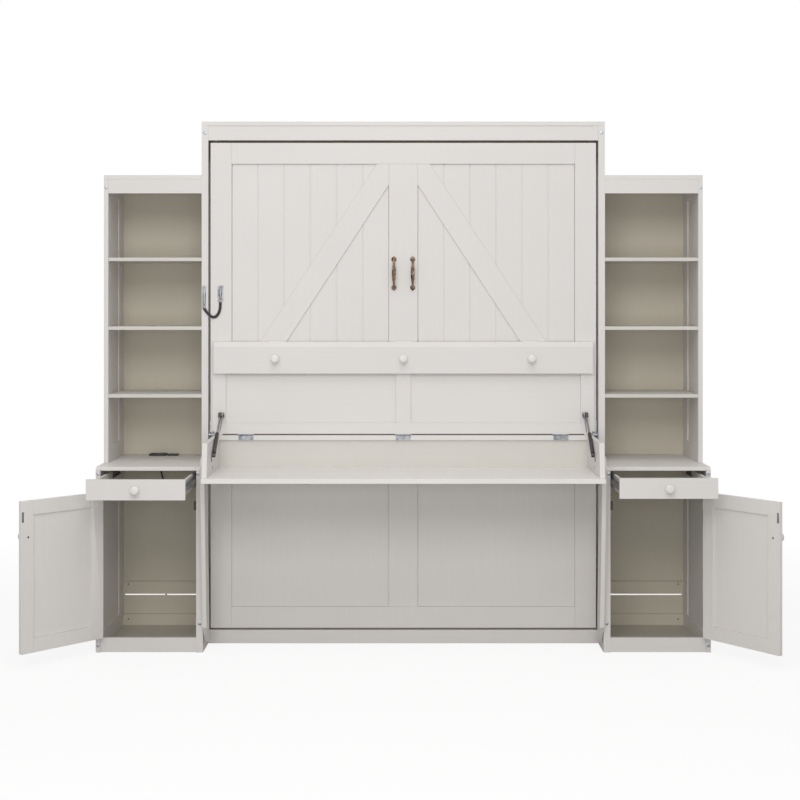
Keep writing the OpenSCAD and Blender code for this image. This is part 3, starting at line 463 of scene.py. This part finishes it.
# ---- power cord: from the counter through the back panel, down behind, a coil ----
# The route and the coil are in millimetres. LYING is the height of the cord's middle when it
# lies on the floor.
CORD_D = 0.0065
LYING = 3.25
ROUTE_IN = [
    (-1083, 115, 740), (-1083, 115, 725), (-1084, 115.5, 712), (-1082, 117, 692),
    (-1077, 120, 671), (-1072, 125, 651), (-1068, 132.5, 634.5), (-1065, 142.5, 623.5),
    (-1063.5, 152, 619), (-1063, 161, 616.5), (-1063.3, 169.5, 610), (-1064, 176.5, 599),
    (-1065, 181.5, 584), (-1066, 184, 566), (-1067, 184.5, 545), (-1069, 184.5, 480),
    (-1071, 184.5, 400), (-1072, 184.5, 300), (-1072, 184.5, 200), (-1072, 184.5, 100),
    (-1072, 184.5, 70), (-1072, 184.5, 45),
    (-1072, 186.5, 30), (-1072, 193, 16.5), (-1072, 204, 7.5), (-1072, 218, 3.6),
    (-1072, 240, LYING), (-1072, 270, LYING), (-1072, 299.5, LYING)]
ROUTE_OUT = [
    (-1072, 312.5, 10.35), (-1072, 330, 10.4), (-1071.5, 345, 10.8), (-1071, 356, 11.6),
    (-1071, 364, 12), (-1071, 370, 12)]
COIL_MIDDLE, COIL_R, COIL_PITCH, COIL_TURNS = (-1032, 306), 40, 7.1, 4
COIL_STEPS = 24  # in one turn


def coil_point(t):
    """Two turns inwards, about one cord's width up, and two turns outwards."""
    radius = COIL_R - COIL_PITCH * min(t, COIL_TURNS - t)
    height = LYING + COIL_PITCH * min(1, max(0, 2 * t - COIL_TURNS + 0.5))
    return (COIL_MIDDLE[0] - radius * math.cos(2 * math.pi * t),
            COIL_MIDDLE[1] + radius * math.sin(2 * math.pi * t), height)


coil = [coil_point(i / COIL_STEPS) for i in range(COIL_STEPS * COIL_TURNS + 1)]
cord_path = [p / 1000 for p in
             smooth_path(ROUTE_IN, 4) + smooth_path(coil, 3) + smooth_path(ROUTE_OUT, 4)]
curve = bpy.data.curves.new("power_lead", "CURVE")
curve.dimensions = "3D"
curve.bevel_depth = CORD_D / 2
curve.bevel_resolution = 5
curve.use_fill_caps = True
spline = curve.splines.new("POLY")
spline.points.add(len(cord_path) - 1)
for point, p in zip(spline.points, cord_path):
    point.co = (*p, 1)
spline.use_smooth = True
lead = new_object("power_lead", curve)
curve.materials.append(M["rubber"])
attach(lead, "cabinet")
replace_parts(lead, "power_cord", "cord_coil", "cord_tail")

# ---- strain relief, plug and tie: a profile is (radius, height) along the cord ----
RELIEF_AT = (-1.083, 0.115, 0.740)
RELIEF = [
    (0.0034, 0), (0.0050, 0.0005), (0.0056, 0.008), (0.0060, 0.0085), (0.0060, 0.0115),
    (0.0056, 0.012), (0.0062, 0.0215), (0.0066, 0.022), (0.0066, 0.025), (0.0062, 0.0255),
    (0.0068, 0.030), (0, 0.030)]
PLUG_RELIEF = [
    (0.0034, 0), (0.0045, 0.0004), (0.0050, 0.0034), (0.0043, 0.0036), (0.0043, 0.0046),
    (0.0054, 0.0048), (0.0058, 0.0070), (0, 0.0070)]
PLUG_AT = (-1.071, 0.370, 0.012)
PLUG_BLOCKS = (  # x, y, z, rounding
    ((-0.0150, 0.0150), (0.006, 0.029), (-0.0120, 0.0120), 0.0045),
    ((-0.0128, 0.0128), (0.027, 0.0358), (-0.0100, 0.0100), 0.002))
GRIPS, GRIP_FIRST, GRIP_STEP, GRIP_W = 4, 0.0105, 0.0042, 0.002
GRIP_X, GRIP_IN, GRIP_OUT, GRIP_Z = 0.0149, 0.0005, 0.0001, (-0.0065, 0.0065)
BLADES_X, BLADE_T, BLADE_Y, BLADE_Z = (-0.0065, 0.005), 0.0015, (0.035, 0.053), (-0.003, 0.003)
TIE_FROM_MIDDLE, TIE_Z = 33, 6.8  # in millimetres, from the coil's middle and the floor
TIE_RX, TIE_RZ, TIE_UP, TIE_LOW, TIE_SIDES = 0.0122, 0.0076, 0.0003, 0.0006, 28
TIE_SECTION = [(-0.0005, -0.005), (0.0005, -0.005), (0.0005, 0.005), (-0.0005, 0.005)]

bm = bmesh.new()
add_lathe(bm, RELIEF, Matrix.Translation(RELIEF_AT), 32)
strain_relief = piece("strain_relief", bm, "cabinet", "black")

plug_at = Matrix.Translation(PLUG_AT)
bm = bmesh.new()
add_lathe(bm, PLUG_RELIEF, plug_at @ TURN_BACK, 28)
for xs, ys, zs, rounding in PLUG_BLOCKS:
    add_block(bm, xs, ys, zs, plug_at, rounding)
for k in range(GRIPS):
    y = GRIP_FIRST + GRIP_STEP * k
    for side in (-1, 1):
        add_block(bm, (side * GRIP_X - GRIP_IN, side * GRIP_X + GRIP_OUT), (y, y + GRIP_W),
                  GRIP_Z, plug_at, 0.0002)
plug_body = piece("plug_body", bm, "cabinet", "black")
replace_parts(plug_body, "cord_plug")

bm = bmesh.new()
for x in BLADES_X:
    add_block(bm, (x, x + BLADE_T), BLADE_Y, BLADE_Z, plug_at, 0.0004)
plug_blades = piece("plug_blades", bm, "cabinet", "zinc")

bm = bmesh.new()
tie_at = Vector((COIL_MIDDLE[0] + TIE_FROM_MIDDLE, COIL_MIDDLE[1], TIE_Z)) / 1000
ring = [tie_at + Vector((TIE_RX * math.cos(a), 0, TIE_RZ * math.sin(a) + TIE_UP))
        for a in [2 * math.pi * k / TIE_SIDES for k in range(TIE_SIDES + 1)]]
ring = [Vector((p.x, p.y, max(p.z, TIE_LOW))) for p in ring]
add_sweep(bm, ring, TIE_SECTION, (1, 0, 0))
tie = piece("cord_tie", bm, "cabinet", "webbing")

# ---- power outlet: two low blocks on the left counter, with sockets and small ports ----
CASE_Y = (0.095, 0.140)
CASE_BLOCKS = (  # x, top, rounding
    ((-1.135, -1.057), 0.7785, 0.0025), ((-1.052, -1.005), 0.7765, 0.002))
SOCKETS_X, SOCKET_HALF = (-1.114, -1.078), 0.013
SOCKET_Y, SOCKET_Z = (0.103, 0.132), (0.7783, 0.780)
SLOT_FROM_MIDDLE, SLOT_HALF = 0.0055, 0.0008
SLOT_Y, SLOT_Z = (0.114, 0.122), (0.7799, 0.78002)
HOLE_R, HOLE_Y = 0.0022, 0.108
PORTS_X, PORT_HALF = (-1.040, -1.018), 0.006
PORT_Y, PORT_Z = (0.114, 0.1195), (0.7764, 0.77655)

bm = bmesh.new()
for xs, top, rounding in CASE_BLOCKS:
    add_block(bm, xs, CASE_Y, (COUNTER_TOP, top), bevel=rounding)
for x in SOCKETS_X:
    add_block(bm, about(x, SOCKET_HALF), SOCKET_Y, SOCKET_Z, bevel=0.0006)
outlet = piece("outlet_case", bm, "cabinet", "black")
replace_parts(outlet, "power_outlet")

bm = bmesh.new()
for x in SOCKETS_X:
    for dx in (-SLOT_FROM_MIDDLE, SLOT_FROM_MIDDLE):
        add_block(bm, about(x + dx, SLOT_HALF), SLOT_Y, SLOT_Z)
    add_lathe(bm, [(HOLE_R, z) for z in SLOT_Z], Matrix.Translation((x, HOLE_Y, 0)), 16)
for x in PORTS_X:
    add_block(bm, about(x, PORT_HALF), PORT_Y, PORT_Z)
piece("outlet_slots", bm, "cabinet", "rubber")

# ---- turned knobs: a profile of (radius, height) ----
KNOB_TOP, KNOB_BASE = 0.0329, (0.0098, -0.0003)
FASCIA_KNOBS_X, FASCIA_KNOB_UP, FASCIA_OUT = (-0.543, 0, 0.543), 0.326, 0.0195
KNOB_CURVE = smooth_path([
    (0.0098, 0, 0), (0.0100, 0, 0.0012), (0.0088, 0, 0.0046), (0.0066, 0, 0.0086),
    (0.0062, 0, 0.0132), (0.0090, 0, 0.0176), (0.0148, 0, 0.0206), (0.0177, 0, 0.0240),
    (0.0175, 0, 0.0278), (0.0146, 0, 0.0310), (0.0085, 0, 0.0325), (0.0001, 0, KNOB_TOP)], 4)
KNOB = [KNOB_BASE] + [(p.x, p.z) for p in KNOB_CURVE[:-1]] + [(0, KNOB_TOP)]


def knobs(name, places, body, *nodes):
    bm = bmesh.new()
    for place in places:
        add_lathe(bm, KNOB, place, 48)
    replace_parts(piece(name, bm, body, "knob", ROUND_CREASE), *nodes)


knobs("fascia_knobs_turned",
      [along_front(x, HINGE.y - FASCIA_OUT, HINGE.z + FASCIA_KNOB_UP) for x in FASCIA_KNOBS_X],
      "fascia", "fascia_knobs")
for side in ("left", "right"):
    knobs(f"{side}_drawer_knob_turned",
          [pulled(side) @ along_front(DRAWER_X, BASE_FRONT, DRAWER_KNOB_Z)],
          f"drawer_{side}", f"{side}_drawer_knob")
    knobs(f"{side}_door_knob_turned",
          [swung(side) @ along_front(DOOR_KNOB[0], BASE_FRONT, DOOR_KNOB[1])],
          f"door_{side}", f"{side}_door_knob")

# ---- pull handles: leaf-shaped feet and a twisted cage ----
HANDLES_X, HANDLE_Z = (-0.040, 0.040), 1.577
FOOT_Z = 0.060  # from the handle's middle to a foot
CAGE_Y = FRONT - 0.035
CAGE_HALF, CAGE_R, CAGE_BULGE, CAGE_TWIST = 0.0405, 0.0022, 0.0048, 0.85
LEAF_Y, LEAF_R, NECK_R, BEAD_Z = FRONT - 0.0016, 0.0068, 0.0040, 0.0435
WIRES, WIRE_STEPS, WIRE_R = 5, 32, 0.0021
FOOT = [(0.0100, 0), (0.0112, 0.0012), (0.0100, 0.0028), (0.0062, 0.0042), (0.0044, 0.0060),
        (0.0040, 0.0110)]
LEAF = ((-0.004, 1.0), (0.004, 0.95), (0.010, 0.55), (0.014, 0.12))  # beyond the foot, width
NECK = ((0.004, 0.060), (0.017, 0.0602), (0.028, 0.0570), (0.0335, 0.0500), (0.035, 0.0440))
BEAD = [(0, -0.0042), (0.0036, -0.0038), (0.0056, -0.0012), (0.0056, 0.0012),
        (0.0036, 0.0038), (0, 0.0042)]
CORE = [(0, -0.0405), (0.0022, -0.040), (0.0022, 0.040), (0, 0.0405)]


def handle(bm, x):
    for side in (-1, 1):
        add_lathe(bm, FOOT, along_front(x, FRONT, HANDLE_Z + side * FOOT_Z), 24)
        leaf = [Vector((x, LEAF_Y, HANDLE_Z + side * (FOOT_Z + d))) for d, _ in LEAF]
        add_sweep(bm, leaf, circle(LEAF_R, 14), (1, 0, 0), [width for _, width in LEAF])
        neck = smooth_path([(x, FRONT - out, HANDLE_Z + side * up) for out, up in NECK], 5)
        add_sweep(bm, neck, circle(NECK_R, 14), (1, 0, 0))
        add_lathe(bm, BEAD, Matrix.Translation((x, CAGE_Y, HANDLE_Z + side * BEAD_Z)), 20)
    for k in range(WIRES):
        wire = []
        for i in range(WIRE_STEPS + 1):
            t = i / WIRE_STEPS
            out = CAGE_R + CAGE_BULGE * math.sin(math.pi * t) ** 0.75
            a = 2 * math.pi * (k / WIRES + CAGE_TWIST * t)
            wire.append(Vector((x + out * math.cos(a), CAGE_Y + out * math.sin(a),
                                HANDLE_Z - CAGE_HALF + 2 * CAGE_HALF * t)))
        add_sweep(bm, wire, circle(WIRE_R, 8), (1, 0, 0))
    add_lathe(bm, CORE, Matrix.Translation((x, CAGE_Y, HANDLE_Z)), 12)


bm = bmesh.new()
for x in HANDLES_X:
    handle(bm, x)
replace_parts(piece("cage_pull_handles", bm, "bed", "bronze", TURNED_CREASE),
            "bed_pull_handles")

# ---- paint gathered in the joints between the planks, which makes them shallow ----
PLANK_IN, PLANK_W = 0.0611, 0.111833  # the first plank's inner edge, a plank's width
PLANKS = 6  # on each side
JOINT_HALF, JOINT_DEPTH, JOINT_BACK = 0.0015, 0.0019, 0.0036

bm = bmesh.new()
for side in (-1, 1):
    for i in range(1, PLANKS):
        x = side * (PLANK_IN + i * PLANK_W)
        add_block(bm, about(x, JOINT_HALF),
                  (PLANK_FACE + JOINT_DEPTH, PLANK_FACE + JOINT_BACK), (PLANK_LOW, PLANK_TOP))
piece("plank_joint_paint", bm, "bed", "paint_z")

# ---- painted shadow line along each brace's upper edge, on the planks: a darker strip where the edge's shade falls ----
BRACE_LEAN = math.radians(33.2)
BRACE_TOP_X, BRACE_OUT_X = 0.1132, 0.7316
LINE_IN, LINE_OUT = 0.0004, 0.0017  # under the brace's edge and beyond it
LINE_BACK, LINE_PROUD = 0.001, 0.0004
LINE_FROM_TOP, LINE_FROM_END = 0.001, 0.002

reach = (BRACE_OUT_X - BRACE_TOP_X) / math.sin(BRACE_LEAN)
bm = bmesh.new()
for side in (-1, 1):
    along = (Matrix.Translation((side * BRACE_TOP_X, PLANK_FACE, PLANK_TOP))
             @ Matrix.Rotation(-side * BRACE_LEAN, 4, "Y"))
    add_block(bm, sorted((-side * LINE_IN, side * LINE_OUT)), (-LINE_PROUD, LINE_BACK),
              (LINE_FROM_END - reach, -LINE_FROM_TOP), along)
piece("brace_edge_shadow_lines", bm, "bed", "shaded_warm_z")

# ---- safety strap: padded webbing between two clip plates ----
STRAP_Y = FRONT - 0.00405
STRAP = [(-0.849, 1.437), (-0.8475, 1.426), (-0.831, 1.405), (-0.814, 1.3915),
         (-0.798, 1.3945), (-0.7865, 1.409), (-0.7805, 1.433), (-0.780, 1.464)]
STRAP_HALF, STRAP_PAD = 0.0059, 0.00172
STRAP_SIDES = 20
SLEEVES = ((-0.8487, 1.434, 0.15), (-0.780, 1.461, 0.0))  # x, z, turn in radians
SLEEVE_SIZE = ((-0.0064, 0.0064), (-0.0021, 0.0020), (-0.006, 0.006))
PLATE_RIVET = [(0.0038, 0), (0.0036, 0.0007), (0.0022, 0.0011), (0, 0.0012)]
RIVET_FROM_LOW, RIVET_FROM_HIGH = 0.008, 0.007
LOOP_SIDE = ((0.0042, 0.0032), (0.0048, 0.0046), (0.0034, 0.0056))  # from the middle, out
LOOP_R, LOOP_OUT = 0.0013, 0.0060
KEEPER_HALF, KEEPER_Y = 0.0062, (FRONT - 0.0044, FRONT - 0.0018)

bm = bmesh.new()
line = smooth_path([(x, STRAP_Y, z) for x, z in STRAP], 5)
section = [(STRAP_HALF * math.copysign(abs(math.cos(a)) ** 0.5, math.cos(a)),
            STRAP_PAD * math.copysign(abs(math.sin(a)) ** 0.7, math.sin(a)))
           for a in [2 * math.pi * (k + 0.5) / STRAP_SIDES for k in range(STRAP_SIDES)]]
add_sweep(bm, line, section, (1, 0, 0.3))
strap = piece("padded_strap", bm, "bed", "webbing", ROUND_CREASE)
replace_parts(strap, "safety_strap")

bm = bmesh.new()
for x, z, turn in SLEEVES:
    sleeve = Matrix.Translation((x, STRAP_Y, z)) @ Matrix.Rotation(turn, 4, "Y")
    add_block(bm, *SLEEVE_SIZE, sleeve, 0.0007)
piece("strap_sleeves", bm, "bed", "nickel")


def clip_plate(name, body, x, low, high):
    """Two rivets, a wire loop and its keeper on a strap plate that runs from low to high."""
    bm = bmesh.new()
    for z in (low + RIVET_FROM_LOW, high - RIVET_FROM_HIGH):
        add_lathe(bm, PLATE_RIVET, along_front(x, FRONT - 0.002, z), 20)
    heights = (high - 0.016, low + 0.034, low + 0.018)
    left, right = ([(x + way * dx, FRONT - out, z) for (dx, out), z in zip(LOOP_SIDE, heights)]
                   for way in (-1, 1))
    loop = smooth_path([*left, (x, FRONT - LOOP_OUT, low + 0.012), *reversed(right)], 6)
    add_sweep(bm, loop, circle(LOOP_R, 8), (0, 1, 0))
    add_block(bm, about(x, KEEPER_HALF), KEEPER_Y, (high - 0.0195, high - 0.0145),
              bevel=0.0006)
    piece(name, bm, body, "nickel")


clip_plate("cabinet_strap_clip", "cabinet", -0.849, 1.430, 1.525)
clip_plate("bed_strap_clip", "bed", -0.780, 1.458, 1.525)

# ---- screws and bolt caps ----
BOLT_CAPS = (  # x, y, z, radius
    (0.846, FRONT, 2.177, 0.0078), (1.2675, FRONT, 1.944, 0.0066),
    (1.2675, BASE_FRONT, 0.741, 0.0066), (1.2675, BASE_FRONT, 0.028, 0.0066),
    (0.8535, BASE_FRONT, 0.741, 0.0066), (0.8455, BASE_FRONT, 0.119, 0.0066))
BACK_RAIL_SCREW_X, BACK_RAIL_SCREWS_Z = 1.234, (0.190, 0.0325)
HINGES_X, HINGE_SCREWS_X = (-0.669, 0, 0.669), (-0.022, 0, 0.022)
HINGE_SCREW_OUT, HINGE_SCREW_DOWN = 0.0016, 0.0128
DOOR_BACK = BASE_FRONT + 0.019
STRIKE = ((0.8636, 0.8736), (DOOR_BACK - 0.0006, DOOR_BACK + 0.0003), (0.5845, 0.6255))
STRIKE_SCREW_X, STRIKE_SCREWS_Z = 0.8686, (0.5925, 0.6175)
LARGE_SCREW, STRIKE_SCREW, FOOT_SCREW = 0.0042, 0.0028, 0.0022  # radius


def screw(bm, matrix, radius=0.0034, height=0.0009):
    """A countersunk screw that stands a little out of its seat."""
    add_lathe(bm, [(radius, -0.0004), (radius, height * 0.35), (radius * 0.8, height * 0.8),
                   (radius * 0.34, height), (radius * 0.30, height * 0.15),
                   (0, height * 0.1)], matrix, 20)


def bolt_cap(bm, matrix, radius):
    """A round bolt head with a round socket."""
    rim = [(radius, -0.0004), (radius, 0.0006), (radius * 0.88, 0.0013), (radius * 0.5, 0.0016)]
    add_lathe(bm, rim + [(radius * 0.46, 0.0003), (0, 0.0003)], matrix, 30)


bm = bmesh.new()
for side in (-1, 1):
    for x, y, z, radius in BOLT_CAPS:
        bolt_cap(bm, along_front(side * x, y, z), radius)
piece("bolt_caps", bm, "cabinet", "bolt", TURNED_CREASE)

bm = bmesh.new()
for side in (-1, 1):
    for z in BACK_RAIL_SCREWS_Z:
        screw(bm, along_front(side * BACK_RAIL_SCREW_X, BACK_RAIL_Y, z), LARGE_SCREW)
piece("back_rail_screws", bm, "cabinet", "dull_steel", TURNED_CREASE)

bm = bmesh.new()
for x in HINGES_X:
    for dx in HINGE_SCREWS_X:
        screw(bm, along_front(x + dx, HINGE.y - HINGE_SCREW_OUT, HINGE.z - HINGE_SCREW_DOWN))
piece("lid_hinge_screws", bm, "desk", "zinc", TURNED_CREASE)

for side in ("left", "right"):
    place = swung(side)
    bm = bmesh.new()
    add_block(bm, *STRIKE, place, 0.0002)
    for z in STRIKE_SCREWS_Z:
        at = Matrix.Translation((STRIKE_SCREW_X, DOOR_BACK + 0.0001, z))
        screw(bm, place @ at @ TURN_BACK, STRIKE_SCREW, 0.0003)
    piece(f"{side}_strike_plate", bm, f"door_{side}", "dull_steel")
    bm = bmesh.new()
    at = Matrix.Translation((DOOR_KNOB[0], DOOR_BACK, DOOR_KNOB[1]))
    screw(bm, place @ at @ TURN_BACK, LARGE_SCREW)
    piece(f"{side}_knob_screw", bm, f"door_{side}", "bronze")

# ---- painted shadow: a dark strip in the lid's hinge gap, between the hinge leaves ----
LID_SHADOW_X = ((-0.768, -0.703), (-0.635, -0.034), (0.034, 0.635), (0.703, 0.768))
LID_SHADOW_Y = (HINGE.y - 0.0007, HINGE.y + 0.0005)
LID_SHADOW_Z = (HINGE.z + 0.0008, HINGE.z + 0.0050)

bm = bmesh.new()
for xs in LID_SHADOW_X:
    add_block(bm, xs, LID_SHADOW_Y, LID_SHADOW_Z, bevel=0.0002)
piece("lid_gap_painted_shadow", bm, "desk_lid", "dark_brown")

# ---- lid strut end fittings ----
STRUT_TOP = Vector((0.775, HINGE.y - 0.025, HINGE.z + 0.085))
STRUT_LOW = Vector((0.775, HINGE.y - 0.240, HINGE.z - 0.062))
CAP_FROM_STRUT = Vector((0.0118, 0, 0))
STRUT_CAP = [(0.0085, 0), (0.0092, 0.0012), (0.0092, 0.0030), (0.0078, 0.0042), (0, 0.0046)]
STRUT_SOCKET = [(0.0108, -0.0074), (0.0128, -0.0062), (0.0132, 0), (0.0128, 0.0062),
                (0.0108, 0.0074), (0.0042, 0.0076)]
FOOT_PLATE = ((0.7832, 0.7843), (STRUT_LOW.y - 0.011, STRUT_LOW.y + 0.011),
              (STRUT_LOW.z - 0.026, STRUT_LOW.z - 0.008))
FOOT_SCREWS_Y, FOOT_SCREW_Z = (-0.006, 0.006), STRUT_LOW.z - 0.0195
TO_RIGHT = Matrix.Rotation(math.pi / 2, 4, "Y")
TO_LEFT = Matrix.Rotation(-math.pi / 2, 4, "Y")
HALF_TURN = Matrix.Rotation(math.pi, 4, "X")

for side, mirror in (("left", MIRROR), ("right", Matrix())):
    bm = bmesh.new()
    add_lathe(bm, STRUT_CAP, mirror @ Matrix.Translation(STRUT_TOP - CAP_FROM_STRUT)
              @ TO_RIGHT @ HALF_TURN, 28)
    piece(f"{side}_strut_top_cap", bm, "desk_lid", "black", TURNED_CREASE)
    bm = bmesh.new()
    add_lathe(bm, STRUT_SOCKET, mirror @ Matrix.Translation(STRUT_TOP) @ TO_RIGHT, 32)
    piece(f"{side}_strut_top_socket", bm, "lid_strut_rods", "dark_brown",
          TURNED_CREASE)
    bm = bmesh.new()
    add_block(bm, *FOOT_PLATE, mirror, 0.0003)
    for dy in FOOT_SCREWS_Y:
        at = Matrix.Translation((FOOT_PLATE[0][0], STRUT_LOW.y + dy, FOOT_SCREW_Z))
        screw(bm, mirror @ at @ TO_LEFT, FOOT_SCREW)
    piece(f"{side}_strut_foot_plate", bm, "desk", "black_metal", TURNED_CREASE)

# ---- floor: pale under the object, and fading out away from it ----
FLOOR_RADIUS, FLOOR_AT = 3.8, (0, -0.2, -0.0002)
FLOOR_FADE = (2.0, 3.6)  # from the middle, where the fading starts and ends
FLOOR_DIM, FLOOR_PALE = (0.93, 0.93, 0.93), (0.96, 0.96, 0.96)
FLOOR_UNSEEN = (0.55, 0.54, 0.52, 1)  # what the light that it throws back carries
FLOOR_GLOW = 0.85  # the share of even white that the camera sees


def floor_material():
    tree = Tree(bpy.data.materials.new("pale_floor"))
    seen = tree.add("LightPath")["Is Camera Ray"]
    pale = tree.tint(tree.noise(0.6, 2), FLOOR_DIM, FLOOR_PALE)
    material = tree.surface({"Roughness": 0.9, "Specular IOR Level": 0.0,
                             "Base Color": tree.mix(seen, FLOOR_UNSEEN, pale)})
    away = tree.add("VectorMath", {0: tree.place()}, operation="LENGTH")["Value"]
    share = tree.add("Math", {0: seen, 1: FLOOR_GLOW}, operation="MULTIPLY")["Value"]
    paler = tree.add("MixShader", {
        "Fac": share, 1: tree.nodes["Principled BSDF"].outputs["BSDF"],
        2: tree.add("Emission", {"Strength": 1.0})["Emission"]})["Shader"]
    faded = tree.add("MixShader", {
        "Fac": tree.spread(away, 0, 1, *FLOOR_FADE), 1: paler,
        2: tree.add("BsdfTransparent")["BSDF"]})["Shader"]
    tree.feed(tree.nodes["Material Output"], {"Surface": faded})
    return material


bm = bmesh.new()
bmesh.ops.create_circle(bm, cap_ends=True, segments=96, radius=FLOOR_RADIUS)
floor = from_bmesh("floor", bm)
floor.location = FLOOR_AT
floor.data.materials.append(floor_material())

# ---- world: white where it is seen or reflected, dimmer as a light ----
ROOM_COLOR, ROOM_STRENGTH = (1.0, 0.995, 0.985, 1), 0.50

world = bpy.data.worlds.new("studio")
bpy.context.scene.world = world
tree = Tree(world)
tree.nodes.clear()
rays = tree.add("LightPath")
seen = tree.add("Math", {0: rays["Is Camera Ray"], 1: rays["Is Glossy Ray"]},
                operation="MAXIMUM")["Value"]
seen = tree.add("Math", {0: seen, 1: rays["Is Transmission Ray"]},
                operation="MAXIMUM")["Value"]
room = tree.add("Background", {"Color": ROOM_COLOR, "Strength": ROOM_STRENGTH})["Background"]
white = tree.add("Background", {"Color": (*WHITE, 1), "Strength": 1.0})["Background"]
tree.add("OutputWorld", {
    "Surface": tree.add("MixShader", {"Fac": seen, 1: room, 2: white})["Shader"]})

# ---- lights: place, target, size, power and colour ----
WARM_LIGHT, COOL_LIGHT = (1.0, 0.985, 0.965), (0.97, 0.985, 1.0)
LIGHTS = {
    "key": ((-0.4, -6.0, 4.1), (0, -0.1, 0.9), (3.2, 2.2), 105, WARM_LIGHT),
    "top": ((0, -3.6, 6.6), (0, -0.3, 0.8), (4.6, 3.2), 98, WARM_LIGHT),
    "fill": ((-0.4, -5.2, 1.1), (0, -0.1, 0.5), (3.4, 1.4), 38, COOL_LIGHT),
}


def area_light(name, place, target, size, power, color):
    light = bpy.data.lights.new(name, "AREA")
    light.shape = "RECTANGLE"
    light.size, light.size_y = size
    light.energy = power
    light.color = color
    obj = new_object(name, light)
    obj.location = place
    obj.rotation_euler = (Vector(target) - Vector(place)).to_track_quat("-Z", "Y").to_euler()


for name, settings in LIGHTS.items():
    area_light(name, *settings)

bpy.context.scene.view_settings.view_transform = "Standard"
